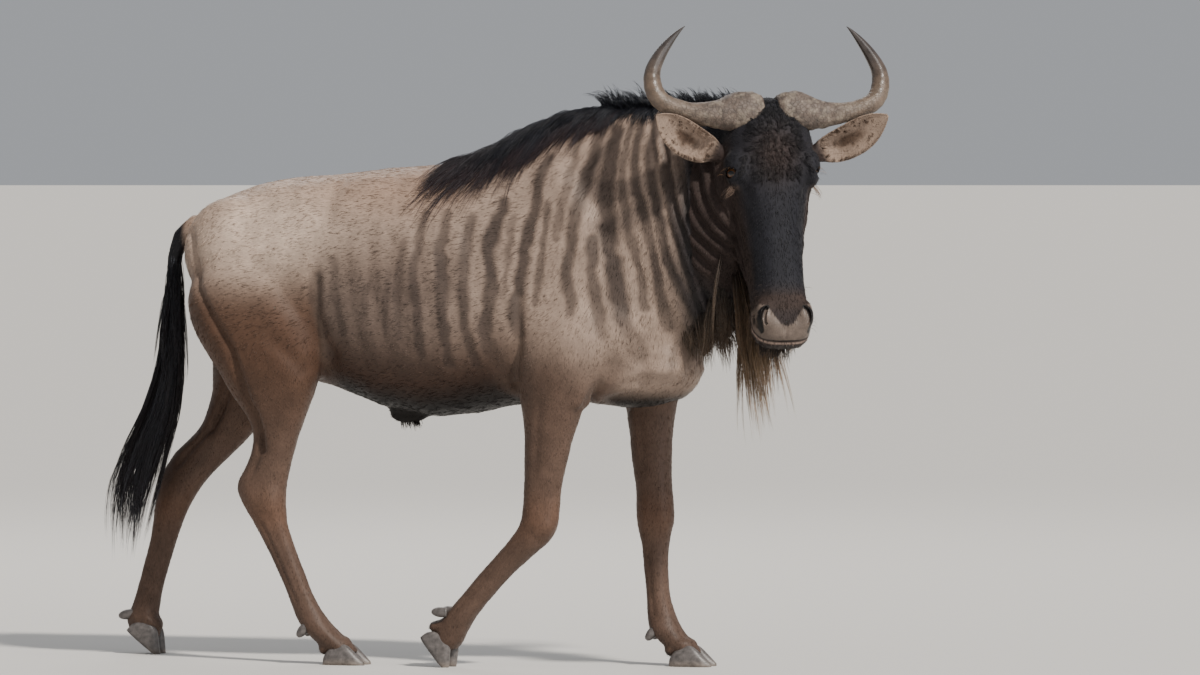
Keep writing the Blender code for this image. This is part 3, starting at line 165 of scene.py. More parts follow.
# The head, from poll to nose: distance down, front, back, half width, how much narrower the front is
# than the back, and how square the section is.
SKULL = (
    (-0.030, -0.050, -0.110, 0.046, 0.00, 2.2),
    (-0.012, -0.022, -0.145, 0.072, 0.00, 2.3),
    (0.020, -0.006, -0.170, 0.094, 0.02, 2.5),
    (0.070, 0.004, -0.190, 0.106, 0.02, 2.6),
    (0.120, 0.008, -0.204, 0.108, 0.04, 2.7),
    (0.170, 0.008, -0.214, 0.101, 0.10, 2.7),
    (0.225, 0.006, -0.214, 0.088, 0.18, 2.7),
    (0.285, 0.004, -0.200, 0.076, 0.20, 2.7),
    (0.345, 0.003, -0.174, 0.067, 0.14, 2.7),
    (0.400, 0.003, -0.150, 0.061, 0.06, 2.7),
    (0.445, 0.003, -0.132, 0.061, 0.00, 2.8),
    (0.485, 0.004, -0.120, 0.066, -0.02, 3.0),
    (0.518, 0.001, -0.110, 0.068, -0.01, 3.0),
    (0.543, -0.008, -0.098, 0.060, 0.00, 2.8),
    (0.559, -0.028, -0.078, 0.042, 0.00, 2.5),
)
SKULL_FORMS = (
    (0.080, -0.040, 0.142, 0.033, 0.040, 0.050),
    (0.064, -0.140, 0.205, 0.034, 0.062, 0.085),
    (0.080, -0.095, 0.092, 0.038, 0.040, 0.040),
    (0.044, -0.018, 0.492, 0.026, 0.024, 0.040),
    (0.022, -0.084, 0.522, 0.030, 0.026, 0.024),
)
MOUTH = Vector((0, -0.085, 0.482))
MOUTH_SIDE = 0.062
MOUTH_FRONT = 0.094
MOUTH_SLOPE = math.radians(43)
MOUTH_TURN = math.radians(104)
MOUTH_DEEP = 0.010
MOUTH_HIGH = 0.0016
MOUTH_STEPS = 36

# Each leg: level, middle along X and Y, half depth along X and half width along Y.
HIND_NEAR = (
    (0.930, -0.395, -0.120, 0.100, 0.050),
    (0.860, -0.410, -0.132, 0.148, 0.078),
    (0.780, -0.392, -0.142, 0.160, 0.090),
    (0.700, -0.368, -0.146, 0.138, 0.086),
    (0.630, -0.352, -0.144, 0.104, 0.072),
    (0.570, -0.345, -0.140, 0.074, 0.058),
    (0.520, -0.346, -0.136, 0.056, 0.046),
    (0.464, -0.362, -0.132, 0.052, 0.038),
    (0.415, -0.382, -0.128, 0.060, 0.037),
    (0.385, -0.384, -0.127, 0.058, 0.038),
    (0.350, -0.375, -0.126, 0.049, 0.036),
    (0.310, -0.361, -0.124, 0.039, 0.031),
    (0.245, -0.333, -0.121, 0.033, 0.027),
    (0.160, -0.296, -0.117, 0.032, 0.027),
    (0.110, -0.272, -0.114, 0.036, 0.031),
    (0.080, -0.250, -0.112, 0.040, 0.037),
    (0.052, -0.220, -0.110, 0.040, 0.037),
    (0.034, -0.196, -0.108, 0.036, 0.036),
    (0.024, -0.190, -0.108, 0.026, 0.028),
)
HIND_FAR = (
    (0.930, -0.425, 0.120, 0.100, 0.050),
    (0.860, -0.455, 0.132, 0.140, 0.078),
    (0.780, -0.470, 0.142, 0.142, 0.088),
    (0.700, -0.488, 0.146, 0.126, 0.084),
    (0.630, -0.508, 0.144, 0.106, 0.070),
    (0.570, -0.540, 0.141, 0.086, 0.054),
    (0.520, -0.578, 0.138, 0.072, 0.046),
    (0.464, -0.636, 0.135, 0.072, 0.039),
    (0.420, -0.672, 0.133, 0.061, 0.038),
    (0.385, -0.694, 0.131, 0.052, 0.037),
    (0.345, -0.712, 0.130, 0.044, 0.036),
    (0.300, -0.724, 0.128, 0.037, 0.031),
    (0.245, -0.738, 0.126, 0.033, 0.027),
    (0.160, -0.762, 0.122, 0.031, 0.027),
    (0.110, -0.774, 0.119, 0.034, 0.031),
    (0.085, -0.782, 0.117, 0.038, 0.036),
    (0.060, -0.776, 0.115, 0.037, 0.036),
    (0.046, -0.772, 0.114, 0.035, 0.035),
    (0.034, -0.768, 0.113, 0.026, 0.028),
)
FRONT_NEAR = (
    (0.900, 0.370, -0.115, 0.060, 0.040),
    (0.820, 0.362, -0.126, 0.098, 0.064),
    (0.740, 0.352, -0.136, 0.112, 0.072),
    (0.670, 0.340, -0.140, 0.102, 0.070),
    (0.610, 0.328, -0.138, 0.080, 0.062),
    (0.545, 0.316, -0.134, 0.062, 0.052),
    (0.480, 0.306, -0.130, 0.052, 0.044),
    (0.410, 0.296, -0.126, 0.045, 0.038),
    (0.360, 0.291, -0.124, 0.044, 0.038),
    (0.325, 0.284, -0.122, 0.045, 0.040),
    (0.290, 0.262, -0.121, 0.049, 0.038),
    (0.255, 0.226, -0.119, 0.046, 0.034),
    (0.215, 0.182, -0.117, 0.041, 0.029),
    (0.170, 0.140, -0.115, 0.040, 0.028),
    (0.130, 0.104, -0.114, 0.040, 0.032),
    (0.105, 0.086, -0.113, 0.039, 0.035),
    (0.080, 0.074, -0.112, 0.036, 0.035),
    (0.055, 0.060, -0.111, 0.037, 0.035),
    (0.038, 0.052, -0.110, 0.028, 0.028),
)
FRONT_FAR = (
    (0.900, 0.430, 0.115, 0.060, 0.040),
    (0.820, 0.444, 0.126, 0.096, 0.064),
    (0.740, 0.456, 0.134, 0.104, 0.070),
    (0.670, 0.462, 0.136, 0.090, 0.068),
    (0.610, 0.462, 0.132, 0.068, 0.058),
    (0.545, 0.464, 0.128, 0.054, 0.050),
    (0.480, 0.467, 0.124, 0.048, 0.043),
    (0.410, 0.473, 0.121, 0.043, 0.038),
    (0.360, 0.477, 0.119, 0.044, 0.040),
    (0.325, 0.478, 0.118, 0.043, 0.040),
    (0.285, 0.478, 0.117, 0.035, 0.034),
    (0.240, 0.480, 0.115, 0.030, 0.029),
    (0.160, 0.487, 0.112, 0.029, 0.028),
    (0.110, 0.497, 0.110, 0.035, 0.032),
    (0.080, 0.509, 0.108, 0.040, 0.037),
    (0.055, 0.532, 0.107, 0.040, 0.037),
    (0.036, 0.556, 0.106, 0.036, 0.036),
    (0.025, 0.562, 0.106, 0.026, 0.028),
)
LEGS = (HIND_NEAR, HIND_FAR, FRONT_NEAR, FRONT_FAR)

# Each foot: where the toes' tips meet the floor, the way they point, how far the heel is raised, and
# where the dewclaws hang from.
FEET = {
    "hind_right": (Vector((-0.146, -0.108, 0)), 0, 0, Vector((-0.288, -0.112, 0.078))),
    "hind_left": (Vector((-0.742, 0.113, 0)), 4, 40, Vector((-0.818, 0.118, 0.094))),
    "front_right": (Vector((0.060, -0.110, 0)), -4, 52, Vector((0.050, -0.113, 0.130))),
    "front_left": (Vector((0.612, 0.106, 0)), 2, 0, Vector((0.474, 0.109, 0.074))),
}
# A claw from its heel to its toe: distance from the tip, height, half width.
CLAW = (
    (0.096, 0.018, 0.009),
    (0.086, 0.033, 0.015),
    (0.064, 0.047, 0.017),
    (0.042, 0.045, 0.017),
    (0.018, 0.024, 0.0145),
    (0.000, 0.007, 0.005),
)
CLAW_STATIONS = 26
CLAW_RING = 24
CLAW_SQUARE = 0.75
CLAW_NARROWS = 0.12
CLAW_CROWN = 0.8
CLAW_FORWARD = 0.0096
CLAW_APART = 0.0195
CLAW_SPLAY = math.radians(-3)
# A dewclaw: share of its length and of its radius, then the way it points and where it starts.
DEWCLAW = ((0.0, 0.95), (0.5, 1.0), (0.85, 0.7), (1.0, 0.3))
DEWCLAW_STATIONS = 14
DEWCLAW_LENGTH = 0.036
DEWCLAW_RADIUS = 0.0115
DEWCLAW_WAY = (-0.62, 0.20, -0.75)
DEWCLAW_START = (0.016, 0.019, 0.012)
HOOF_WEAR = 0.018

# Half of the horns: left of the middle, forward, above the poll, half height and half thickness.
HORN = (
    (0.014, -0.050, -0.004, 0.020, 0.022),
    (0.018, -0.050, -0.004, 0.034, 0.036),
    (0.040, -0.048, -0.004, 0.045, 0.046),
    (0.072, -0.046, -0.007, 0.046, 0.046),
    (0.106, -0.044, -0.012, 0.038, 0.038),
    (0.142, -0.043, -0.013, 0.029, 0.030),
    (0.190, -0.043, -0.007, 0.0235, 0.0248),
    (0.238, -0.044, 0.010, 0.0225, 0.0225),
    (0.260, -0.045, 0.031, 0.0225, 0.0220),
    (0.269, -0.045, 0.061, 0.0215, 0.0210),
    (0.266, -0.043, 0.092, 0.0190, 0.0190),
    (0.2485, -0.039, 0.126, 0.0155, 0.0155),
    (0.226, -0.033, 0.156, 0.0110, 0.0110),
    (0.205, -0.026, 0.178, 0.0060, 0.0060),
    (0.190, -0.020, 0.190, 0.0020, 0.0020),
)

# An ear: its root and its reach, then stations along it: share, half width, back bulge, cup depth.
EAR_ROOT = Vector((0.096, -0.090, 0.100))
EAR_REACH = Vector((0.172, 0.078, -0.074))
EAR_OPENS = Vector((0.10, 0.88, 0.35))
EAR = (
    (0.00, 0.019, 0.019, -0.019),
    (0.13, 0.022, 0.022, -0.014),
    (0.24, 0.031, 0.026, 0.004),
    (0.36, 0.037, 0.026, 0.0205),
    (0.52, 0.040, 0.022, 0.0170),
    (0.68, 0.039, 0.017, 0.0125),
    (0.82, 0.031, 0.012, 0.0080),
    (0.93, 0.017, 0.007, 0.0035),
    (1.00, 0.003, 0.003, 0.0005),
)
EAR_RIM = 0.0035
EAR_SAG = 0.014

TAIL = (
    ((-0.560, 0.000, 1.000), 0.030),
    ((-0.602, 0.000, 0.996), 0.026),
    ((-0.636, 0.000, 0.968), 0.022),
    ((-0.652, 0.001, 0.920), 0.020),
    ((-0.655, 0.003, 0.860), 0.018),
    ((-0.657, 0.005, 0.790), 0.016),
    ((-0.664, 0.008, 0.720), 0.014),
    ((-0.680, 0.010, 0.640), 0.011),
)
# The outline of the tail's hair: middle, half depth along X and half width along Y.
TAIL_HAIR = (
    ((-0.636, 0.000, 0.968), 0.023, 0.023),
    ((-0.652, 0.001, 0.920), 0.026, 0.026),
    ((-0.657, 0.003, 0.860), 0.029, 0.029),
    ((-0.660, 0.005, 0.760), 0.034, 0.033),
    ((-0.666, 0.010, 0.660), 0.043, 0.038),
    ((-0.694, 0.020, 0.560), 0.053, 0.042),
    ((-0.733, 0.030, 0.460), 0.057, 0.042),
    ((-0.757, 0.036, 0.380), 0.052, 0.038),
    ((-0.770, 0.038, 0.300), 0.040, 0.030),
    ((-0.776, 0.038, 0.220), 0.022, 0.018),
)

# The crest that the mane stands on, from behind the withers to behind the horns.
CREST = (
    (0.090, 0.000, 1.150),
    (0.180, 0.000, 1.196),
    (0.280, 0.000, 1.242),
    (0.380, 0.000, 1.264),
    (0.480, 0.000, 1.270),
    (0.590, -0.022, 1.268),
    (0.680, -0.050, 1.266),
    (0.760, -0.090, 1.262),
)

# Dark stripes of the near side, as points along X and Z, then the half width and the strength.
STRIPES = (
    (((-0.182, 0.920), (-0.173, 0.834), (-0.161, 0.757)), 0.011, 0.45),
    (((-0.226, 0.877), (-0.224, 0.827), (-0.216, 0.759)), 0.014, 0.55),
    (((-0.093, 0.861), (-0.098, 0.827), (-0.100, 0.793)), 0.009, 0.35),
    (((-0.040, 0.895), (-0.045, 0.827), (-0.049, 0.759)), 0.009, 0.35),
    (((-0.008, 0.964), (-0.016, 0.861), (-0.011, 0.748)), 0.011, 0.45),
    (((0.030, 1.023), (0.021, 0.911), (0.035, 0.791), (0.040, 0.707)), 0.011, 0.75),
    (((0.081, 1.027), (0.072, 0.955), (0.086, 0.868), (0.093, 0.775), (0.098, 0.689)), 0.014, 0.85),
    (((0.134, 1.014), (0.132, 0.895), (0.139, 0.791), (0.159, 0.689)), 0.014, 0.80),
    (((0.209, 1.052), (0.185, 0.945), (0.200, 0.859), (0.185, 0.757), (0.207, 0.689)), 0.018, 0.95),
    (((0.300, 1.150), (0.282, 1.023), (0.263, 0.911), (0.253, 0.809), (0.263, 0.757)), 0.016, 1.00),
    (((0.236, 1.020), (0.231, 0.941), (0.226, 0.850)), 0.009, 0.50),
    (((0.318, 1.048), (0.313, 0.945), (0.304, 0.827)), 0.011, 0.70),
    (((0.365, 1.205), (0.357, 1.066), (0.347, 0.975)), 0.011, 0.60),
    (((0.410, 1.215), (0.397, 1.134), (0.391, 1.014), (0.376, 0.895), (0.386, 0.809)), 0.016, 0.90),
    (((0.430, 0.970), (0.429, 0.895), (0.449, 0.809), (0.458, 0.757)), 0.016, 0.90),
    (
        ((0.447, 1.215), (0.450, 1.100), (0.463, 0.955), (0.485, 0.868), (0.504, 0.784), (0.517, 0.714)),
        0.020,
        1.00,
    ),
    (((0.482, 1.225), (0.481, 1.123), (0.502, 1.020), (0.526, 0.914), (0.546, 0.816)), 0.011, 0.70),
    (
        ((0.505, 1.235), (0.511, 1.145), (0.546, 1.020), (0.562, 0.945), (0.577, 0.859), (0.582, 0.775)),
        0.014,
        0.90,
    ),
    (
        ((0.545, 1.235), (0.556, 1.134), (0.582, 1.020), (0.599, 0.920), (0.628, 0.852), (0.659, 0.791)),
        0.016,
        0.95,
    ),
    (((0.585, 1.225), (0.590, 1.134), (0.623, 1.020), (0.647, 0.914), (0.691, 0.816)), 0.016, 0.90),
)
# The length of the mane at places along X.
MANE_LENGTH = ((0.09, 0.17), (0.16, 0.25), (0.30, 0.21), (0.40, 0.135), (0.50, 0.085), (0.76, 0.075))
# Rows of the mane: side, from and to along X, how many locks, share of the length.
MANE_ROWS = (
    (-1, 0.085, 0.450, 100, 1.00),
    (-1, 0.120, 0.440, 50, 0.70),
    (1, 0.120, 0.450, 60, 0.80),
    (-1, 0.440, 0.770, 46, 1.00),
    (1, 0.440, 0.770, 40, 0.95),
)
STANDING_LOCKS = 420
MANE_WISPS = 240
TAIL_LOCKS = 190
TAIL_BLOWN = 0.045
# The beard on the lower jaw: left, front and down in the head, length, how many locks, how tan the tips.
BEARD = (
    (-0.054, -0.215, 0.290, 0.240, 16, 0.3),
    (-0.052, -0.205, 0.318, 0.285, 17, 0.6),
    (-0.050, -0.194, 0.346, 0.350, 18, 0.9),
    (-0.046, -0.178, 0.376, 0.385, 22, 1.0),
    (-0.042, -0.160, 0.406, 0.290, 18, 0.8),
    (-0.034, -0.140, 0.442, 0.150, 12, 0.5),
    (0.000, -0.206, 0.330, 0.270, 14, 0.6),
    (0.000, -0.184, 0.368, 0.370, 18, 1.0),
    (0.000, -0.156, 0.414, 0.250, 16, 0.7),
    (0.000, -0.126, 0.464, 0.120, 12, 0.4),
    (0.046, -0.194, 0.345, 0.210, 10, 0.7),
    (0.044, -0.168, 0.392, 0.190, 12, 0.7),
    (0.034, -0.138, 0.444, 0.130, 12, 0.4),
)
# The lower edge of the neck that the throat's fringe hangs from, then the length of its locks.
THROAT = (
    (0.640, -0.040, 0.745, 0.075),
    (0.655, -0.045, 0.760, 0.095),
    (0.668, -0.050, 0.775, 0.120),
    (0.682, -0.055, 0.790, 0.135),
    (0.695, -0.060, 0.805, 0.150),
    (0.710, -0.068, 0.820, 0.160),
    (0.722, -0.074, 0.835, 0.170),
)
THROAT_LOCKS = 15
FOREHEAD_LOCKS = 500
EAR_LOCKS = 150
LASHES = 15
WHISKERS = 22
EYE_BRISTLES = 30
SHEATH_LOCKS = 26
CHIN_LOCKS = 60
SHORT_TUFTS = 54000
MOST_TRIANGLES = 190000
PATCH = 0.003
# Kinds of lock: how many strands, their spread, the shortest as a share, their wave, how far the lowest
# lies under the guide as a share of the spread, widths from and to, thickness, and shades from and to.
Lock = namedtuple("Lock", "strands spread shortest wave lowest thin wide thick dark light")
MANE_LOCK = Lock(20, 0.014, 0.32, 0.002, -0.2, 0.0012, 0.0022, 0.0006, 0.7, 1.5)
WISP = Lock(6, 0.010, 0.60, 0.004, -0.2, 0.0010, 0.0016, 0.0005, 0.7, 1.6)
STANDING_LOCK = Lock(9, 0.007, 0.50, 0.004, -1.0, 0.0010, 0.0018, 0.0006, 0.7, 1.5)
TAIL_LOCK = Lock(18, 0.011, 0.72, 0.004, -0.6, 0.0014, 0.0024, 0.0007, 0.6, 1.5)
BEARD_LOCK = Lock(15, 0.012, 0.60, 0.003, -1.0, 0.0014, 0.0024, 0.0007, 0.7, 1.35)
THROAT_LOCK = Lock(10, 0.010, 0.50, 0.003, -1.0, 0.0010, 0.0017, 0.0005, 0.7, 1.3)
FOREHEAD_LOCK = Lock(6, 0.004, 0.60, 0.001, -0.2, 0.0009, 0.0009, 0.0004, 0.7, 1.35)
EAR_LOCK = Lock(5, 0.003, 0.50, 0.001, -1.0, 0.0008, 0.0008, 0.0004, 1.0, 1.0)
SHEATH_LOCK = Lock(6, 0.004, 0.50, 0.001, -1.0, 0.0009, 0.0009, 0.0004, 1.0, 1.0)
CHIN_LOCK = Lock(7, 0.005, 0.50, 0.002, -1.0, 0.0011, 0.0011, 0.0005, 1.0, 1.0)
# How thick a strand is from root to tip, how its lock draws together, and how the tail's hair spreads.
TAPER = ((0, 0.15, 0.5, 1.0), (0.75, 1.0, 0.85, 0.15))
GATHERED = ((0, 0.25, 0.7, 1.0), (0.85, 1.0, 0.75, 0.35))
TAIL_SPREAD = ((0, 0.25, 0.6, 1.0), (0.30, 0.75, 0.95, 1.0))
TAIL_PLACES = 10
LASH_LENGTH = 0.020
# How the hair lies on the trunk, the shoulders, the rump and the legs.
LIE_TRUNK = (-1.0, 0.0, -0.35)
LIE_SHOULDER = (-0.30, 0.0, -1.0)
LIE_RUMP = (-0.5, 0.0, -1.0)
LIE_LEG = (-0.15, 0.0, -1.0)
# The short tufts: lengths on body, legs, head and ears, and widths on body and head.
TUFT_BODY = 0.014
TUFT_LEG = 0.007
TUFT_HEAD = 0.009
TUFT_EAR = 0.005
TUFT_WIDTH = 0.0014
TUFT_HEAD_WIDTH = 0.0011

EAR_STATIONS = 34
EAR_HALF = 16
HORN_STATIONS = 120
HORN_RING = 48
HORN_RELIEF = 0.0065
HORN_RINGS = 0.0004
HORN_SET_IN = 0.0015
COAT_DEPTH = 0.0032
LEG_COAT_DEPTH = 0.0016
FACE_COAT_DEPTH = 0.0010
LEG_FADES = (0.64, 0.80)
LEG_STATIONS = 60
# The coronet and the heels that cover the top of a hoof, from the toe's tip: middle and radii.
HEEL_FORMS = (
    ((-0.064, 0.0, 0.049), (0.036, 0.036, 0.020)),
    ((-0.090, 0.0, 0.034), (0.016, 0.034, 0.017)),
)
# Bones and muscles that stand out on the legs and body: middle, radii and how far they stand out.
BUMPS = (
    ((-0.352, -0.165, 0.372), (0.022, 0.030, 0.030), 0.0060),
    ((-0.402, -0.150, 0.385), (0.018, 0.030, 0.026), 0.0040),
    ((-0.690, 0.100, 0.385), (0.024, 0.030, 0.030), 0.0050),
    ((-0.736, 0.120, 0.410), (0.018, 0.030, 0.026), 0.0040),
    ((0.312, -0.150, 0.318), (0.024, 0.030, 0.022), 0.0060),
    ((0.284, -0.165, 0.350), (0.016, 0.030, 0.030), 0.0035),
    ((0.268, -0.160, 0.285), (0.020, 0.030, 0.018), 0.0030),
    ((0.508, 0.090, 0.335), (0.022, 0.030, 0.030), 0.0050),
    ((0.470, 0.085, 0.350), (0.016, 0.030, 0.028), 0.0035),
    ((-0.470, -0.190, 0.880), (0.060, 0.060, 0.120), 0.0080),
    ((-0.330, -0.200, 0.820), (0.080, 0.070, 0.110), 0.0060),
    ((-0.280, -0.190, 0.660), (0.040, 0.050, 0.050), 0.0050),
    ((-0.440, -0.150, 0.640), (0.030, 0.050, 0.090), 0.0060),
    ((0.330, -0.200, 0.720), (0.060, 0.060, 0.070), 0.0070),
    ((0.400, -0.200, 0.900), (0.050, 0.060, 0.130), 0.0050),
    ((0.470, -0.190, 0.760), (0.050, 0.060, 0.060), 0.0060),
)
# Folds of the neck and cheek, the stripes' relief and the ribs: depth, distance apart and lean.
FOLD_APART = 0.031
FOLD_LEAN = 0.30
FOLD_DEEP = 0.011
STRIPE_DEEP = 0.0020
CHEEK_DEEP = 0.006
CHEEK_APART = 0.027
CHEEK_LEAN = 0.12
RIB_APART = 0.062
RIB_DEEP = 0.0016
RIB_LEAN = 0.22
HIDE_ROUGH = 0.0022
HIDE_FINE = 0.0010
# Soft patches of colour: middle and radius along X and Z, the elbows with their side first. The rump's patch
# is a paler coat with a painted highlight.
RUMP_PALE_AND_HIGHLIGHT = (-0.37, 0.17, 0.985, 0.10)
# The elbows' patches are painted shade, in the crease where the leg meets the body.
ELBOW_SHADE_PATCHES = ((-1, 0.325, 0.10, 0.655, 0.085), (1, 0.430, 0.10, 0.655, 0.085))
KNEE_HEIGHT = 0.34
KNEE_SPREAD = 0.05
# The upper edge of the bare nose: distance from the middle, and how far down in the head.
PAD_TOP = ((0.0, 0.014, 0.030, 0.045, 0.060, 0.070), (0.520, 0.516, 0.494, 0.474, 0.468, 0.474))
# A nostril's groove: left and down in the head, and its radius there.
NOSTRIL = (
    (0.0430, 0.475, 0.0036),
    (0.0510, 0.477, 0.0058),
    (0.0580, 0.487, 0.0072),
    (0.0610, 0.502, 0.0068),
    (0.0595, 0.517, 0.0052),
    (0.0540, 0.530, 0.0036),
)

# Grooves (less than 0) and ridges of the body: side or 0 for both, points along X and Z, radius, depth.
BODY_STROKES = (
    (
        -1,
        ((-0.553, 0.977), (-0.518, 0.861), (-0.422, 0.716), (-0.383, 0.564), (-0.369, 0.486)),
        0.011,
        -0.0095,
    ),
    (
        1,
        ((-0.560, 0.950), (-0.545, 0.861), (-0.530, 0.760), (-0.545, 0.640), (-0.600, 0.520)),
        0.011,
        -0.0085,
    ),
    (-1, ((-0.322, 0.739), (-0.289, 0.709), (-0.260, 0.673)), 0.020, -0.0065),
    (-1, ((-0.230, 0.882), (-0.228, 0.804), (-0.214, 0.730), (-0.197, 0.709)), 0.018, -0.0100),
    (1, ((-0.300, 0.882), (-0.300, 0.804), (-0.330, 0.730)), 0.018, -0.0080),
    (0, ((-0.219, 1.077), (-0.212, 1.014)), 0.022, -0.0060),
    (0, ((-0.300, 1.080), (-0.262, 1.020)), 0.020, 0.0040),
    (-1, ((0.266, 0.840), (0.262, 0.757), (0.248, 0.689), (0.235, 0.640)), 0.013, -0.0110),
    (1, ((0.366, 0.840), (0.362, 0.757), (0.348, 0.689), (0.335, 0.640)), 0.013, -0.0110),
    (0, ((0.400, 0.600), (0.449, 0.645), (0.522, 0.673), (0.604, 0.677)), 0.015, 0.0090),
    (0, ((0.400, 0.575), (0.432, 0.605), (0.522, 0.620), (0.594, 0.632)), 0.012, -0.0080),
    (0, ((0.300, 1.150), (0.360, 1.000), (0.420, 0.840)), 0.016, -0.0030),
)
# Grooves along the legs: from and to in height, place as a share of the half depth, radius, depth.
HIND_STROKES = (
    (0.420, 0.600, -0.42, 0.010, -0.0070),
    (0.120, 0.340, -0.30, 0.0055, -0.0030),
    (0.120, 0.340, 0.28, 0.0055, -0.0012),
)
FRONT_STROKES = (
    (0.100, 0.290, -0.28, 0.0055, -0.0030),
    (0.420, 0.620, -0.20, 0.010, -0.0030),
)
LEG_STROKES = (
    (HIND_NEAR, HIND_STROKES),
    (HIND_FAR, HIND_STROKES),
    (FRONT_NEAR, FRONT_STROKES),
    (FRONT_FAR, FRONT_STROKES),
)
# Forms of the face, the same on both sides: left, front and down in the head, radius, depth.
FACE_STROKES = (
    (((0.066, -0.012, 0.125), (0.092, -0.028, 0.118), (0.106, -0.060, 0.125)), 0.012, 0.0050),
    (((0.080, -0.020, 0.185), (0.074, -0.018, 0.215)), 0.012, -0.0040),
    (((0.098, -0.075, 0.185), (0.082, -0.060, 0.250), (0.070, -0.050, 0.320)), 0.012, 0.0040),
    (((0.052, 0.000, 0.200), (0.048, 0.002, 0.300), (0.046, 0.003, 0.400)), 0.010, 0.0030),
    (((0.064, 0.000, 0.466), (0.052, 0.006, 0.460), (0.040, 0.008, 0.470)), 0.007, 0.0040),
    (((0.045, -0.002, 0.500), (0.030, 0.000, 0.520)), 0.018, 0.0040),
    (((0.000, 0.002, 0.520), (0.000, -0.012, 0.550)), 0.004, -0.0020),
)
# Tan marks of the face: points, radius and strength.
TAN_MARKS = (
    (((0.094, -0.036, 0.192), (0.086, -0.024, 0.225), (0.077, -0.016, 0.262)), 0.010, 0.60),
    (((0.084, -0.016, 0.134), (0.096, -0.040, 0.132)), 0.004, 0.40),
)
# The studio's lamps: name, kind, place, size (or spread), power and tint. The first shines as the sun did.
LIGHTS = (
    ("key", "SUN", (5.6, -3.8, 7.4), math.radians(5), 4.6, (1.0, 0.95, 0.88)),
    ("fill", "AREA", (6.2, -2.6, 1.8), 5.0, 170, (0.92, 0.96, 1.0)),
    ("rim", "AREA", (-2.5, 5.0, 5.0), 3.5, 120, (1.0, 1.0, 1.0)),
)


def srgb(red, green, blue):
    """A colour as the eye names it, from 0 to 255, in the linear values that shaders take."""
    values = np.array((red, green, blue)) / 255
    return np.where(values <= 0.04045, values / 12.92, ((values + 0.055) / 1.055) ** 2.4)


# The rump's pale tone: partly a paler coat and partly painted highlight.
PALE_AND_HIGHLIGHT = srgb(184, 163, 147)
FAWN = srgb(142, 123, 110)
FLANK = srgb(94, 80, 72)
THIGH = srgb(75, 54, 42)
LEG = srgb(84, 66, 56)
KNEE = srgb(92, 69, 56)
# The belly's near-black and dark brown are partly its own dark coat and partly painted shade under the body.
BELLY_BLACK_AND_SHADE = srgb(15, 11, 9)
BELLY_BROWN_AND_SHADE = srgb(56, 38, 29)
BACK = srgb(146, 122, 106)
MUZZLE = srgb(46, 36, 32)
# Near-black of the nostrils and round the eyes: dark skin and painted shade.
DARK_SKIN_AND_SHADE = srgb(14, 11, 11)
STRIPE = srgb(40, 33, 31)
NECK_DARK = srgb(28, 25, 26)
FACE = srgb(27, 27, 32)
FOREHEAD = srgb(48, 38, 36)
CHEEK = srgb(46, 36, 33)
TAN = srgb(112, 94, 82)
PAD = srgb(98, 86, 78)
LIP = srgb(158, 136, 124)
EAR_INSIDE = srgb(136, 117, 103)
EAR_BACK = srgb(88, 70, 58)
MANE = srgb(20, 20, 25)
MANE_BROWN = srgb(44, 32, 33)
BEARD_ROOT = srgb(38, 29, 25)
BEARD_TIP = srgb(150, 124, 98)
TAIL_BLACK = srgb(16, 16, 20)
EYE_RIM = srgb(70, 50, 38)
IRIS = srgb(92, 58, 32)
IRIS_EDGE = srgb(30, 18, 12)
PUPIL = srgb(6, 6, 8)
HORN_ROOT = srgb(84, 72, 64)
HORN_MIDDLE = srgb(98, 82, 68)
HORN_FLAKE = srgb(122, 110, 97)
HORN_TIP = srgb(56, 50, 48)
HOOF = srgb(84, 79, 77)
HOOF_WORN = srgb(122, 110, 100)
LASH = srgb(40, 30, 26)
LASH_PALE = srgb(150, 118, 90)
WHISKER = srgb(60, 50, 45)
FLOOR_COLOUR = (0.62, 0.60, 0.57, 1)
SKY_COLOUR = (0.92, 0.95, 1.0, 1)
SKY_STRENGTH = 0.40


def smoothstep(low, high, x):
    t = np.clip((x - low) / (high - low), 0.0, 1.0)
    return t * t * (3 - 2 * t)


def band(x, rise, fall):
    """1 between two soft edges and 0 beyond them; each edge is given by where it starts and ends."""
    return smoothstep(*rise, x) * (1 - smoothstep(*fall, x))


def spot(*axes):
    """A soft patch, 1 in its middle; each axis is given by its values, middle and radius."""
    return np.exp(-sum(((values - middle) / radius) ** 2 for values, middle, radius in axes))


def hashed(cells, seed):
    """A number from 0 to 1 for each cell of a lattice."""
    k = cells[:, 0] * 374761393 + cells[:, 1] * 668265263 + cells[:, 2] * 2147483647 + seed * 1274126177
    k = (k ^ (k >> 13)) * 1274126177
    return ((k ^ (k >> 16)) & 0xFFFF) / 65535.0


def noise(points, size, seed=0):
    """Smooth noise from 0 to 1 whose features are about this size, which may differ along each axis."""
    p = np.asarray(points) / size
    low = np.floor(p).astype(np.int64)
    t = p - low
    t = t * t * (3 - 2 * t)
    total = np.zeros(len(p))
    for corner in range(8):
        step = np.array([corner & 1, corner >> 1 & 1, corner >> 2 & 1])
        weight = np.prod(np.where(step, t, 1 - t), axis=1)
        total += weight * hashed(low + step, seed)
    return total


def mixed(a, b, share):
    """Two colours, or rows of them, mixed by a share for each point."""
    return a + (b - a) * np.clip(share, 0, 1)[:, None]


def unit(v):
    return v / np.maximum(np.linalg.norm(v, axis=-1, keepdims=True), 1e-9)


def column(table, k):
    return np.array([row[k] for row in table])


def leg_at(levels, z):
    """Middle along X and Y, half depth and half width of a leg at each height."""
    heights = column(levels, 0)[::-1]
    return [np.interp(z, heights, column(levels, k)[::-1]) for k in (1, 2, 3, 4)]


def trunk_at(x):
    """The top and the bottom of the trunk at each place along X."""
    return [np.interp(x, column(TRUNK, 0), column(TRUNK, k)) for k in (1, 2)]


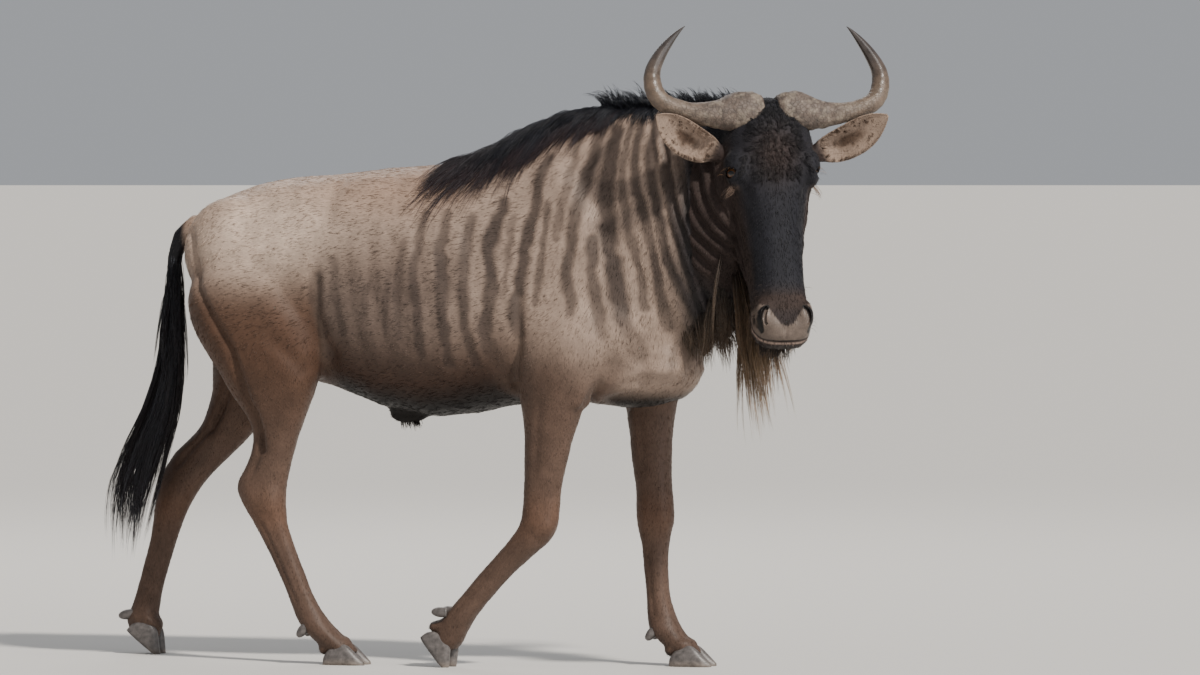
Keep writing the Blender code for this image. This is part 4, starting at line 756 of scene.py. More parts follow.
def head_axes():
    """The head's left, front and down directions, as the columns of a matrix."""
    ahead = Vector((math.cos(HEAD_TURN), math.sin(HEAD_TURN), 0))
    left = Vector((-ahead.y, ahead.x, 0))
    down = ahead * math.cos(HEAD_DIP) - UP * math.sin(HEAD_DIP)
    front = ahead * math.sin(HEAD_DIP) + UP * math.cos(HEAD_DIP)
    roll = Matrix.Rotation(HEAD_ROLL, 3, front)
    return Matrix((roll @ left, front, roll @ down)).transposed()


HEAD_AXES = head_axes()
AXES = np.array(HEAD_AXES)


def head_point(left, front, down):
    """A point of the head: to its left, out of its face, and down to its nose, all from the poll."""
    return POLL + HEAD_AXES @ Vector((left, front, down)) * HEAD_SIZE


def head_spot(place, side):
    """A place of the head's left half, or its mirrored place when side is -1."""
    return head_point(place.x * side, place.y, place.z)


def head_way(way, side=1):
    """A direction of the head, mirrored to its right side when side is -1."""
    return (HEAD_AXES @ Vector((way[0] * side, way[1], way[2]))).normalized()


def to_head(points):
    """Left, front and down in the head of each point."""
    return (np.asarray(points) - np.array(POLL)) @ AXES / HEAD_SIZE


def head_cut():
    """A point and the direction, towards the face, of the plane between neck and head."""
    nape, throat = head_point(0, *NAPE_CUT), head_point(0, *THROAT_CUT)
    return (nape + throat) / 2, (throat - nape).cross(HEAD_AXES.col[0]).normalized()


def oval(middle, across, upright, half_across, up, down, upper=2.0, lower=2.0, count=RING, taper=0.0):
    """A closed ring of points: an oval whose upper and lower halves may differ in height and squareness."""
    ring = []
    for i in range(count):
        angle = math.tau * i / count
        c, s = math.cos(angle), math.sin(angle)
        power = 2 / (upper if s >= 0 else lower)
        side = math.copysign(abs(c) ** power, c)
        rise = math.copysign(abs(s) ** power, s)
        width = half_across * (1 - taper * rise)
        ring.append(middle + across * (side * width) + upright * (rise * (up if s >= 0 else down)))
    return ring


def add_loft(bm, rings):
    """Joins rings of the same number of points into one closed body."""
    rows = [[bm.verts.new(p) for p in ring] for ring in rings]
    count = len(rows[0])
    faces = [bm.faces.new(list(reversed(rows[0]))), bm.faces.new(rows[-1])]
    for a, b in zip(rows, rows[1:]):
        for i in range(count):
            j = (i + 1) % count
            faces.append(bm.faces.new((a[i], a[j], b[j], b[i])))
    bmesh.ops.recalc_face_normals(bm, faces=faces)


def along(points):
    """The directions of a line through its points."""
    ways = []
    for i in range(len(points)):
        before, after = points[max(i - 1, 0)], points[min(i + 1, len(points) - 1)]
        ways.append((after - before).normalized())
    return ways


def add_tube(bm, points, radii, flats=None, count=12, up=UP):
    """A rod through points, each with its own half thickness, and another across it if flats is given."""
    flats = flats or radii
    rings = []
    for p, way, wide, flat in zip(points, along(points), radii, flats):
        across = up.cross(way).normalized()
        rings.append(oval(p, across, way.cross(across), wide, flat, flat, count=count))
    add_loft(bm, rings)


def add_blob(bm, middle, radii, axes=None, segments=20):
    """An ellipsoid, used for muscles and bones under the skin, and to cut hollows."""
    turn = (axes or Matrix.Identity(3)).to_4x4()
    matrix = Matrix.Translation(middle) @ turn @ Matrix.Diagonal((*radii, 1))
    bmesh.ops.create_uvsphere(bm, u_segments=segments, v_segments=segments * 5 // 8, radius=1, matrix=matrix)


def mesh_object(name, bm):
    mesh = bpy.data.meshes.new(name)
    bm.to_mesh(mesh)
    bm.free()
    made = bpy.data.objects.new(name, mesh)
    bpy.context.scene.collection.objects.link(made)
    return made


def apply_modifiers(obj):
    """Replaces the object's mesh by what its modifiers make of it."""
    bpy.context.view_layer.update()
    graph = bpy.context.evaluated_depsgraph_get()
    mesh = bpy.data.meshes.new_from_object(obj.evaluated_get(graph))
    obj.modifiers.clear()
    old, obj.data = obj.data, mesh
    bpy.data.meshes.remove(old)


def combine(obj, other, operation):
    """Joins the other object to this one, or cuts it from this one, and removes it."""
    modifier = obj.modifiers.new("join", "BOOLEAN")
    modifier.operation = operation
    modifier.solver = "MANIFOLD"
    modifier.object = other
    apply_modifiers(obj)
    bpy.data.objects.remove(other)


def smooth(obj, times, where=None):
    modifier = obj.modifiers.new("smooth", "SMOOTH")
    modifier.factor = 0.5
    modifier.iterations = times
    if where is not None:
        group = obj.vertex_groups.new(name="where")
        group.add([v.index for v in obj.data.vertices if where(v.co)], 1.0, "REPLACE")
        modifier.vertex_group = "where"
    apply_modifiers(obj)
    obj.vertex_groups.clear()


def points_of(mesh):
    co = np.empty(len(mesh.vertices) * 3, np.float32)
    mesh.vertices.foreach_get("co", co)
    return co.reshape(-1, 3).astype(float)


def normals_of(mesh):
    n = np.empty(len(mesh.vertices) * 3, np.float32)
    mesh.vertex_normals.foreach_get("vector", n)
    return n.reshape(-1, 3).astype(float)


def set_points(mesh, co):
    mesh.vertices.foreach_set("co", co.astype(np.float32).ravel())
    mesh.update()


def set_colours(mesh, colours, name="tone"):
    """Stores a colour for each vertex."""
    attribute = mesh.color_attributes.new(name, "FLOAT_COLOR", "POINT")
    values = np.ones((len(colours), 4), np.float32)
    values[:, :3] = colours
    attribute.data.foreach_set("color", values.ravel())


def set_number(mesh, name, values):
    attribute = mesh.attributes.new(name, "FLOAT", "POINT")
    attribute.data.foreach_set("value", values.astype(np.float32))


def in_head(p):
    return (p - head_point(*HEAD_MIDDLE)).length < HEAD_REACH and p.x > HEAD_FROM


def smoothed_more(p):
    return not in_head(p) and p.z > TRUNK_LOWEST and p.x > TRUNK_REARMOST


def foot_turn(foot):
    """How a foot is turned and tipped about its toe, and where the toe stands."""
    toe, heading, heel, _ = FEET[foot]
    turn = Matrix.Rotation(math.radians(heading), 3, "Z") @ Matrix.Rotation(math.radians(heel), 3, "Y")
    return turn, toe


def flesh():
    """Trunk, neck, head, legs and dock of the tail as one closed skin."""
    bm = bmesh.new()
    rings = []
    for x, top, bottom, half, widest, upper, lower in TRUNK:
        middle = Vector((x, 0, widest))
        rings.append(oval(middle, -LEFTWARD, UP, half, top - widest, widest - bottom, upper, lower))
    add_loft(bm, rings)
    for side in SIDES:
        for (x, y, z), radii in FLANK_FORMS:
            add_blob(bm, (x, y * side, z), radii)
    for middle, radii in BELLY_FORMS:
        add_blob(bm, middle, radii)
    for side, elbow in ELBOWS:
        for (x, y, z), radii, lean in SHOULDER_FORMS:
            add_blob(bm, (elbow + x, y * side, z), radii, Matrix.Rotation(lean, 3, "Y"))
    points = [Vector(p) for p, _, _ in NECK]
    rings = []
    for p, way, (_, tall, half) in zip(points, along(points), NECK):
        across = UP.cross(Vector((way.x, way.y, 0))).normalized()
        rings.append(oval(p, across, UP, half, tall, tall, upper=1.75, lower=1.8))
    add_loft(bm, rings)
    left, front = HEAD_AXES.col[0], HEAD_AXES.col[1]
    rings = []
    for down, face, back, half, taper, power in SKULL:
        middle = head_point(0, (face + back) / 2, down)
        deep = (face - back) / 2 * HEAD_SIZE
        rings.append(oval(middle, left, front, half * HEAD_SIZE, deep, deep, power, power, taper=taper))
    add_loft(bm, rings)
    for side in SIDES:
        for away, out, down, wide, deep, tall in SKULL_FORMS:
            radii = Vector((wide, deep, tall)) * HEAD_SIZE
            add_blob(bm, head_point(side * away, out, down), radii, HEAD_AXES)
    for levels in LEGS:
        rings = []
        for z, x, y, deep, wide in curve_rows(levels, LEG_STATIONS):
            middle = Vector((x, y, z))
            rings.append(oval(middle, Vector((1, 0, 0)), LEFTWARD, deep, wide, wide, 2.2, 2.2))
        add_loft(bm, rings)
    for foot in FEET:
        turn, toe = foot_turn(foot)
        for middle, radii in HEEL_FORMS:
            add_blob(bm, toe + turn @ Vector(middle), radii, turn)
    add_tube(bm, [Vector(p) for p, _ in TAIL], [r for _, r in TAIL], up=LEFTWARD)
    body = mesh_object("skin", bm)
    remesh = body.modifiers.new("skin", "REMESH")
    remesh.mode = "VOXEL"
    remesh.voxel_size = VOXEL
    apply_modifiers(body)
    smooth(body, TRUNK_SMOOTHING, smoothed_more)
    smooth(body, ALL_SMOOTHING)
    return body


def curve_rows(rows, count):
    """Reads a table of numbers along a smooth curve, at this many evenly spaced places."""
    table = np.array(rows, float)
    last = len(table) - 1
    places = np.linspace(0, last, count)
    i = np.minimum(places.astype(int), last - 1)
    t = (places - i)[:, None]
    before, after = table[np.maximum(i - 1, 0)], table[np.minimum(i + 2, last)]
    a, b = table[i], table[i + 1]
    bend = 2 * a + (b - before) * t + (2 * before - 5 * a + 4 * b - after) * t * t
    return (bend + (3 * a - before - 3 * b + after) * t ** 3) / 2


def ear_axes(side):
    """An ear's reach, and the directions along it, across it and out of its cup."""
    reach = HEAD_AXES @ Vector((EAR_REACH.x * side, EAR_REACH.y, EAR_REACH.z))
    way = reach.normalized()
    opens = head_way(EAR_OPENS, side)
    opens = (opens - way * opens.dot(way)).normalized()
    return reach, way, opens.cross(way), opens


def ear(side):
    """A leaf-shaped cup, closed to a tube at its root."""
    reach, _, across, opens = ear_axes(side)
    root = head_spot(EAR_ROOT, side)
    rings = []
    for share, wide, back, cup in curve_rows(EAR, EAR_STATIONS):
        at = root + reach * share - UP * (EAR_SAG * math.sin(math.pi * share))
        ring = []
        for i in range(EAR_HALF + 1):
            angle = math.pi * i / EAR_HALF
            ring.append(at + across * (wide * math.cos(angle)) - opens * (back * math.sin(angle)))
        inner = max(wide - EAR_RIM / 2, wide * 0.5)
        for i in range(EAR_HALF + 1):
            angle = math.pi * (1 - i / EAR_HALF)
            depth = cup * math.sin(angle) - EAR_RIM / 3
            ring.append(at + across * (inner * math.cos(angle)) - opens * depth)
        rings.append(ring)
    bm = bmesh.new()
    add_loft(bm, rings)
    bmesh.ops.triangulate(bm, faces=bm.faces)
    return mesh_object("ear", bm)


def ball(middle, radius, segments=40):
    bm = bmesh.new()
    add_blob(bm, middle, (radius, radius, radius), segments=segments)
    return mesh_object("ball", bm)


def eye_opening(side):
    """A short almond rod along the gaze, which parts the lids."""
    gaze = head_way(EYE_GAZE, side)
    upright = head_way((0, 0, -1), side)
    upright = (upright - gaze * upright.dot(gaze)).normalized()
    across = upright.cross(gaze)
    middle = head_spot(EYE, side)
    wide, tall = EYE_OPENING
    rings = []
    for reach, share in LID_ROD:
        at = middle + gaze * (EYE_RADIUS * reach)
        rings.append(oval(at, across, upright, wide * share, tall * share, tall * share, 1.5, 1.5, count=28))
    bm = bmesh.new()
    add_loft(bm, rings)
    return mesh_object("opening", bm)


def mouth_point(angle, outward=1.0):
    """A point of the mouth's line, from -MOUTH_TURN at one corner to +MOUTH_TURN at the other."""
    forward = Vector((0, math.sin(MOUTH_SLOPE), math.cos(MOUTH_SLOPE)))
    place = MOUTH + Vector((1, 0, 0)) * (MOUTH_SIDE * math.sin(angle) * outward)
    place += forward * (MOUTH_FRONT * math.cos(angle) * outward)
    return head_point(*place)


def mouth_cutter():
    bm = bmesh.new()
    upright = head_way((0, -math.cos(MOUTH_SLOPE), math.sin(MOUTH_SLOPE)))
    rings = []
    for i in range(MOUTH_STEPS + 1):
        along_mouth = 2 * i / MOUTH_STEPS - 1
        angle = MOUTH_TURN * along_mouth
        outward = (mouth_point(angle, 1.1) - mouth_point(angle)).normalized()
        thin = MOUTH_HIGH * (1 - 0.5 * abs(along_mouth) ** 3)
        rings.append(oval(mouth_point(angle), outward, upright, MOUTH_DEEP, thin, thin, count=10))
    add_loft(bm, rings)
    return mesh_object("mouth", bm)


def tree_of(mesh):
    bm = bmesh.new()
    bm.from_mesh(mesh)
    tree = BVHTree.FromBMesh(bm)
    bm.free()
    return tree


def nearest(tree, point):
    """The place of the skin that is nearest to a point, and the way it faces."""
    return tree.find_nearest(Vector(point))[:2]


def nostril_cutter(tree, side):
    """A comma-shaped groove that starts in a round hole and thins towards the middle of the nose."""
    bm = bmesh.new()
    points, radii = [], []
    for left, down, radius in curve_rows(NOSTRIL, 16):
        place, facing = nearest(tree, head_point(side * left, 0.02, down))
        points.append(place - facing * (radius * 0.35))
        radii.append(radius)
    add_tube(bm, points, radii, count=14, up=HEAD_AXES.col[1])
    return mesh_object("nostril", bm)


def finer_head(body):
    """Divides the faces of the head once more."""
    bm = bmesh.new()
    bm.from_mesh(body.data)
    edges = [e for e in bm.edges if all(in_head(v.co) for v in e.verts)]
    bmesh.ops.subdivide_edges(bm, edges=edges, cuts=1, use_grid_fill=True, smooth=0.0)
    bm.to_mesh(body.data)
    bm.free()
    smooth(body, HEAD_SMOOTHING, in_head)


def near_line(points, line):
    """How far each point lies from a line through the given points, in two or three dimensions."""
    best = np.full(len(points), 1e9)
    for a, b in zip(np.array(line, float), np.array(line[1:], float)):
        run = b - a
        share = np.clip(((points - a) @ run) / (run @ run), 0, 1)
        gap = np.linalg.norm(points - (a + share[:, None] * run), axis=1)
        best = np.minimum(best, gap)
    return best


def leg_share(co):
    """How far each point belongs to a leg, from 0 to 1."""
    most = np.zeros(len(co))
    for levels in LEGS:
        x, y, deep, wide = leg_at(levels, co[:, 2])
        away = np.hypot((co[:, 0] - x) / deep, (co[:, 1] - y) / wide)
        most = np.maximum(most, 1 - smoothstep(1.25, 1.8, away))
    return most * (1 - smoothstep(*LEG_FADES, co[:, 2]))


def head_share(co):
    """How far each point belongs to the head, from 0 to 1, with a soft edge along the jaw."""
    point, facing = head_cut()
    beyond = (co - np.array(point)) @ np.array(facing)
    near = np.linalg.norm(co - np.array(head_point(*HEAD_MIDDLE)), axis=1) < HEAD_REACH + 0.08
    return smoothstep(-0.030, 0.020, beyond) * near * (co[:, 0] > HEAD_FROM - 0.06)


def sculpted(body):
    """Grooves, folds, bones and muscles, and the skin set in by the depth of the coat."""
    mesh = body.data
    co, n = points_of(mesh), normals_of(mesh)
    x, y, z = co.T
    legs, head = leg_share(co), head_share(co)
    push = -(COAT_DEPTH * (1 - legs) + LEG_COAT_DEPTH * legs) * (1 - head) - FACE_COAT_DEPTH * head
    sideways = np.abs(n[:, 1])
    outward = smoothstep(0.1, 0.5, sideways) * (1 - head)
    for side, line, radius, depth in BODY_STROKES:
        facing = outward * (np.sign(y) * side >= 0) if side else outward
        push += depth * spot((near_line(co[:, (0, 2)], line), 0, radius)) * facing
    for levels, strokes in LEG_STROKES:
        middle_x, middle_y, deep, _ = leg_at(levels, z)
        same = np.abs(y - middle_y) < 0.10
        for low, high, place, radius, depth in strokes:
            reach = band(z, (low, low + 0.03), (high - 0.03, high))
            groove = spot((x, middle_x + deep * place, radius))
            push += depth * groove * reach * same * smoothstep(0.3, 0.7, sideways)
    for middle, radii, depth in BUMPS:
        push += depth * spot(*zip(co.T, middle, radii)) * (1 - head)
    local = to_head(co)
    left, front, down = np.abs(local[:, 0]), local[:, 1], local[:, 2]
    mirrored = np.column_stack((left, front, down))
    for line, radius, depth in FACE_STROKES:
        push += depth * spot((near_line(mirrored, line), 0, radius)) * head
    cheek = smoothstep(-0.080, -0.105, front) * smoothstep(0.03, 0.10, down)
    cheek *= 1 - smoothstep(0.34, 0.42, down)
    cheek *= smoothstep(0.2, 0.6, np.abs(n @ AXES[:, 0])) * head
    cheek_folds = np.sin(math.tau * (front - CHEEK_LEAN * down + 0.008 * noise(co, 0.05, 4)) / CHEEK_APART)
    push += CHEEK_DEEP * (cheek_folds - 0.3) * cheek
    neck = smoothstep(0.56, 0.66, x + FOLD_LEAN * (z - 1.0)) * (1 - head) * smoothstep(0.66, 0.76, z)
    push += FOLD_DEEP * (fold_height(co) - 0.6) * neck * smoothstep(0.2, 0.6, sideways)
    push -= STRIPE_DEEP * stripe_share(co) * outward
    ribs = np.sin(math.tau * (x + RIB_LEAN * z) / RIB_APART)
    chest = band(x, (-0.20, -0.10), (0.16, 0.26)) * band(z, (0.66, 0.74), (0.95, 1.03))
    push += RIB_DEEP * ribs * chest
    push += HIDE_ROUGH * (noise(co, 0.055, 1) - 0.5) * (1 - head) + HIDE_FINE * (noise(co, 0.018, 2) - 0.5)
    set_points(mesh, co + n * push[:, None])


def finish_skin(body):
    """Ears, lids and sockets, nostrils and the line of the mouth, as part of the one skin."""
    for side in SIDES:
        combine(body, ear(side), "UNION")
    centres = [head_spot(EYE, side) for side in SIDES]
    for c in centres:
        combine(body, ball(c, EYE_RADIUS + LID), "UNION")
    for c in centres:
        combine(body, ball(c, EYE_RADIUS + SOCKET_GAP), "DIFFERENCE")
    tree = tree_of(body.data)
    cutters = [nostril_cutter(tree, side) for side in SIDES]
    cutters += [eye_opening(side) for side in SIDES]
    cutters.append(mouth_cutter())
    for cutter in cutters:
        combine(body, cutter, "DIFFERENCE")


def stripe_share(co):
    """How dark the brindled stripes make each point, from 0 to 1."""
    flat = co[:, (0, 2)].copy()
    level = co * (1, 0, 1)
    flat[:, 0] += 0.012 * (noise(level, 0.09, 11) - 0.5) + 0.009 * (noise(level, 0.022, 14) - 0.5)
    rag = 0.75 + 0.5 * noise(level, 0.05, 12)
    dark = np.zeros(len(co))
    for line, half, strength in STRIPES:
        gap = near_line(flat, line) / (half * rag)
        dark = np.maximum(dark, strength * (1 - smoothstep(0.45, 1.45, gap)))
    return dark * (0.72 + 0.4 * noise(level, 0.07, 15)).clip(0, 1)


def coat_colour(co):
    """The colour of skin and coat at each point: the same for both, with painted shade under the belly, the
    brisket and the elbows, and painted highlights on the rump and along the neck's folds.
    """
    x, y, z = co.T
    legs, head = leg_share(co), head_share(co)
    top, bottom = trunk_at(x)
    height = (z - bottom) / (top - bottom)
    tone = mixed(FAWN, BACK, smoothstep(0.72, 0.92, height) * (1 - smoothstep(0.05, 0.20, x)))
    edge = x + 0.10 * (z - 0.85) + 0.014 * (noise(co, 0.05, 13) - 0.5)
    flank = smoothstep(-0.240, -0.215, edge) * (1 - smoothstep(-0.02, 0.30, x))
    flank *= 1 - smoothstep(0.50, 0.82, height)
    tone = mixed(tone, FLANK, 0.95 * flank)
    hind = 1 - smoothstep(-0.245, -0.215, edge)
    tone = mixed(tone, THIGH, hind * (1 - smoothstep(0.80, 0.97, z)))
    # The rump: a paler coat and a painted highlight on top of it, where the light falls.
    rump_x, rump_long, rump_z, rump_tall = RUMP_PALE_AND_HIGHLIGHT
    tone = mixed(tone, PALE_AND_HIGHLIGHT, 1.15 * spot((x, rump_x, rump_long), (z, rump_z, rump_tall)))
    # Towards the belly the trunk turns dark brown: partly its own coat and partly painted shade under the
    # body.
    low = 1 - smoothstep(0.10, 0.42, height)
    ahead = smoothstep(-0.26, -0.18, x)
    tone = mixed(tone, BELLY_BROWN_AND_SHADE, low * ahead * (1 - smoothstep(0.18, 0.34, x)))
    tone = mixed(tone, STRIPE, 0.9 * stripe_share(co) * (1 - 0.9 * legs) * (1 - 0.6 * low))
    # Near-black under the belly and the brisket: partly the dark hair there and partly painted shade.
    under = (1 - smoothstep(0.03, 0.16, height)) * ahead * (1 - smoothstep(0.30, 0.44, x))
    under += (1 - smoothstep(0.600, 0.645, z)) * smoothstep(0.34, 0.46, x)
    tone = mixed(tone, BELLY_BLACK_AND_SHADE, under)
    # The dark neck, with painted highlights along the tops of its folds.
    dark_neck_and_ridge_highlight = mixed(NECK_DARK, NECK_DARK * 2.6, fold_height(co) ** 2)
    tone = mixed(tone, dark_neck_and_ridge_highlight, smoothstep(0.580, 0.660, x) * smoothstep(0.66, 0.76, z))
    leg_tone = mixed(LEG, KNEE, spot((z, KNEE_HEIGHT, KNEE_SPREAD)))
    leg_tone = mixed(leg_tone, LEG * 0.8, 1 - smoothstep(0.03, 0.16, z))
    # Painted shade behind each elbow, darkening the crease between the leg and the body.
    for side, elbow_x, elbow_long, elbow_z, elbow_tall in ELBOW_SHADE_PATCHES:
        elbow = spot((x, elbow_x, elbow_long), (z, elbow_z, elbow_tall))
        tone = mixed(tone, LEG * 0.7, 0.9 * elbow * (y * side > 0))
    reach = np.where(x > 0, 1 - smoothstep(0.56, 0.78, z), 1 - smoothstep(0.44, 0.70, z))
    tone = mixed(tone, leg_tone, legs * reach)
    tone = mixed(tone, MANE, (1 - smoothstep(0.014, 0.032, near_line(co, CREST))) * (x > 0.06))
    tone = mixed(tone, TAIL_BLACK, smoothstep(-0.612, -0.632, x) * (z > 0.60) * (np.abs(y) < 0.05))
    tone = mixed(tone, face_colour(co), head)
    ears, inside, middle = ear_share(co)
    ear_tone = mixed(EAR_BACK, EAR_INSIDE, inside)
    ear_tone = mixed(ear_tone, EAR_BACK * 0.8, inside * middle)
    tone = mixed(tone, ear_tone, ears)
    return tone * (0.90 + 0.12 * noise(co, 0.04, 21) + 0.08 * noise(co, 0.012, 22))[:, None]


def fold_height(co):
    """How near the top of one of the neck's folds each point is, from 0 to 1."""
    across = co[:, 0] + FOLD_LEAN * (co[:, 2] - 1.0) + 0.014 * noise(co, 0.08, 3)
    return 0.5 + 0.5 * np.sin(math.tau * across / FOLD_APART)


def face_colour(co):
    """The head: black, browner over the forehead and cheeks, with a bare nose and tan below the eyes; the
    nostrils and a ring round each eye are near-black, partly painted shade.
    """
    local = to_head(co)
    left, front, down = np.abs(local[:, 0]), local[:, 1], local[:, 2]
    tone = mixed(FACE, FOREHEAD, 1.1 * spot((left, 0, 0.050), (down, 0.115, 0.060)))
    muzzle = spot((down, 0.455, 0.024)) + 0.8 * smoothstep(0.44, 0.47, down) * (front > -0.085)
    tone = mixed(tone, MUZZLE, 0.8 * muzzle)
    cheek = smoothstep(-0.030, -0.070, front) * smoothstep(0.04, 0.10, down)
    tone = mixed(tone, CHEEK, cheek * (1 - smoothstep(0.40, 0.47, down)))
    for line, radius, strength in TAN_MARKS:
        gap = near_line(np.column_stack((left, front, down)), line)
        tone = mixed(tone, TAN, strength * spot((gap, 0, radius)))
    mottled = PAD * (0.75 + 0.5 * noise(co, 0.010, 41))[:, None]
    tone = mixed(tone, mottled, pad_share(local))
    # Painted shade: each nostril's groove in near-black, its dark lining and the shade inside the hole.
    groove = np.array(NOSTRIL)
    rim = near_line(np.column_stack((left, down)), groove[:, :2]) / np.interp(down, *groove[:, 1:].T)
    tone = mixed(tone, DARK_SKIN_AND_SHADE, (1 - smoothstep(0.70, 1.15, rim)) * (front > -0.05))
    # A near-black ring round each eye: dark lid skin and painted shade at the socket.
    lids = 1 - smoothstep(EYE_RADIUS + 0.004, EYE_RADIUS + 0.009, eye_gap(co))
    tone = mixed(tone, DARK_SKIN_AND_SHADE, 0.8 * lids)
    lip = smoothstep(0.006, 0.0, np.abs(lip_height(local) + 0.008)) * smoothstep(-0.11, -0.08, front)
    return mixed(tone, LIP, 0.85 * lip * (down > 0.50))


def lip_height(local):
    """How far each point of the head is above the plane of the mouth."""
    away = local - np.array(MOUTH)
    return away @ np.array((0, math.cos(MOUTH_SLOPE), -math.sin(MOUTH_SLOPE)))


def pad_share(local):
    """The bare nose: two lobes under the nostrils, joined above the lip."""
    left, front, down = np.abs(local[:, 0]), local[:, 1], local[:, 2]
    above = smoothstep(-0.004, 0.004, down - np.interp(left, *PAD_TOP)) * smoothstep(-0.085, -0.070, front)
    return above * smoothstep(-0.001, 0.003, lip_height(local))


def ear_share(co):
    """How far each point belongs to an ear, is inside its cup, and is in the dark middle of it."""
    share, inside, middle = np.zeros(len(co)), np.zeros(len(co)), np.zeros(len(co))
    for side in SIDES:
        reach, way, across, opens = ear_axes(side)
        from_root = co - np.array(head_spot(EAR_ROOT, side))
        along_ear = np.clip(from_root @ np.array(way) / reach.length, -0.5, 1)
        away = from_root - np.outer(along_ear, np.array(reach))
        away[:, 2] += EAR_SAG * np.sin(math.pi * np.clip(along_ear, 0, 1))
        near = np.linalg.norm(away, axis=1) < 0.060 + 0.020 * (along_ear > 0.15)
        half, back, cup = (np.interp(along_ear, column(EAR, 0), column(EAR, k)) for k in (1, 2, 3))
        curve = np.sqrt(np.clip(1 - (away @ np.array(across) / half) ** 2, 0, 1))
        above = away @ np.array(opens) + (back + cup) / 2 * curve
        part = smoothstep(0.14, 0.24, along_ear) * near
        share = np.maximum(share, part)
        inside = np.where(part > 0, smoothstep(-0.004, 0.001, above), inside)
        from_middle = np.hypot((along_ear - 0.50) / 0.20, away @ np.array(across) / (0.40 * half))
        ragged = from_middle + 0.7 * (noise(co, 0.007, 51) - 0.5)
        middle = np.where(part > 0, 1 - smoothstep(0.6, 1.1, ragged), middle)
    return share, inside, middle


def paint_skin(body):
    mesh = body.data
    co = points_of(mesh)
    head = head_share(co)
    set_colours(mesh, coat_colour(co))
    set_number(mesh, "bare", pad_share(to_head(co)) * head)
    set_number(mesh, "dull", head)
    set_number(mesh, "upright", np.maximum(leg_share(co), smoothstep(0.25, 0.50, co[:, 0])))


class Builder:
    """A material's node tree, with short calls for its nodes and links."""

    def __init__(self, name, **inputs):
        self.material = bpy.data.materials.new(name)
        self.material.use_nodes = True
        self.tree = self.material.node_tree
        self.shader = self.tree.nodes["Principled BSDF"]
        self.fill(self.shader, inputs)

    def fill(self, node, inputs):
        """Gives each input of a node its value, or links it to another node's output."""
        for key, value in inputs.items():
            socket = node.inputs[key.replace("_", " ") if isinstance(key, str) else key]
            if isinstance(value, bpy.types.NodeSocket):
                self.tree.links.new(value, socket)
            else:
                socket.default_value = value

    def surface(self, **inputs):
        self.fill(self.shader, inputs)

    def node(self, kind, settings, inputs):
        made = self.tree.nodes.new("ShaderNode" + kind)
        for key, value in settings.items():
            setattr(made, key, value)
        self.fill(made, inputs)
        return made.outputs

    def attribute(self, name, output="Color"):
        return self.node("Attribute", {"attribute_name": name}, {})[output]

    def mapped(self, scale, turn=(0, 0, 0)):
        place = self.node("TexCoord", {}, {})["Object"]
        return self.node("Mapping", {}, {"Scale": scale, "Rotation": turn, "Vector": place})["Vector"]

    def noise(self, vector, scale=1.0, detail=3.0, rough=0.6):
        inputs = {"Scale": scale, "Detail": detail, "Roughness": rough, "Vector": vector}
        return self.node("TexNoise", {}, inputs)["Fac"]

    def cells(self, vector, scale, feature="F1"):
        return self.node("TexVoronoi", {"feature": feature}, {"Scale": scale, "Vector": vector})["Distance"]

    def ramp(self, value, low, high, from_low=0.0, from_high=1.0):
        inputs = {"From Min": from_low, "From Max": from_high, "To Min": low, "To Max": high, "Value": value}
        return self.node("MapRange", {}, inputs)["Result"]

    def mix(self, share, a, b):
        """Numbers a and b, mixed by a share."""
        return self.node("Mix", {}, {0: share, 2: a, 3: b})[0]

    def tinted(self, colour, value):
        """A colour made lighter or darker by a number."""
        return self.node("VectorMath", {"operation": "SCALE"}, {0: colour, "Scale": value})["Vector"]

    def bump(self, height, distance, strength=1.0):
        inputs = {"Distance": distance, "Strength": strength, "Height": height}
        return self.node("Bump", {}, inputs)["Normal"]


def skin_material():
    """Short sleek hair over skin, and a bare pebbled nose."""
    b = Builder("hide", Sheen_Weight=0.05, Sheen_Roughness=0.35, Specular_IOR_Level=0.2)
    lengthwise = b.noise(b.mapped((110, 650, 650), (0, 0.35, 0)))
    upward = b.noise(b.mapped((650, 650, 110), (0, 0.10, 0)))
    hairs = b.mix(b.attribute("upright", "Fac"), lengthwise, upward)
    patches = b.noise(b.mapped((1, 1, 1)), 22, 4)
    pebbles = b.cells(b.mapped((1, 1, 1)), 420)
    bare = b.attribute("bare", "Fac")
    shade = b.mix(bare, b.ramp(hairs, 0.72, 1.32, 0.25, 0.75), b.ramp(pebbles, 1.15, 0.75))
    tone = b.tinted(b.attribute("tone"), shade)
    gloss = b.mix(b.attribute("dull", "Fac"), b.ramp(hairs, 0.60, 0.42), b.ramp(hairs, 0.85, 0.62))
    b.surface(
        Sheen_Tint=(1.0, 0.92, 0.84, 1),
        Base_Color=b.tinted(tone, b.ramp(patches, 0.85, 1.15, 0.3, 0.7)),
        Roughness=b.mix(bare, gloss, 0.36),
        Normal=b.bump(b.mix(bare, hairs, b.ramp(pebbles, 1.0, 0.2)), 0.0007, 0.6),
    )
    return b.material


def hair_material(name, roughness, sheen, tint):
    """Strands whose colour runs from root to tip."""
    b = Builder(name, Roughness=roughness, Sheen_Weight=sheen, Sheen_Roughness=0.35, Specular_IOR_Level=0.2)
    streaks = b.noise(b.mapped((160, 160, 60)), 1.0, 2)
    colour = b.tinted(b.attribute("tone"), b.ramp(streaks, 0.75, 1.3, 0.25, 0.75))
    b.surface(Sheen_Tint=(*tint, 1), Base_Color=colour)
    return b.material


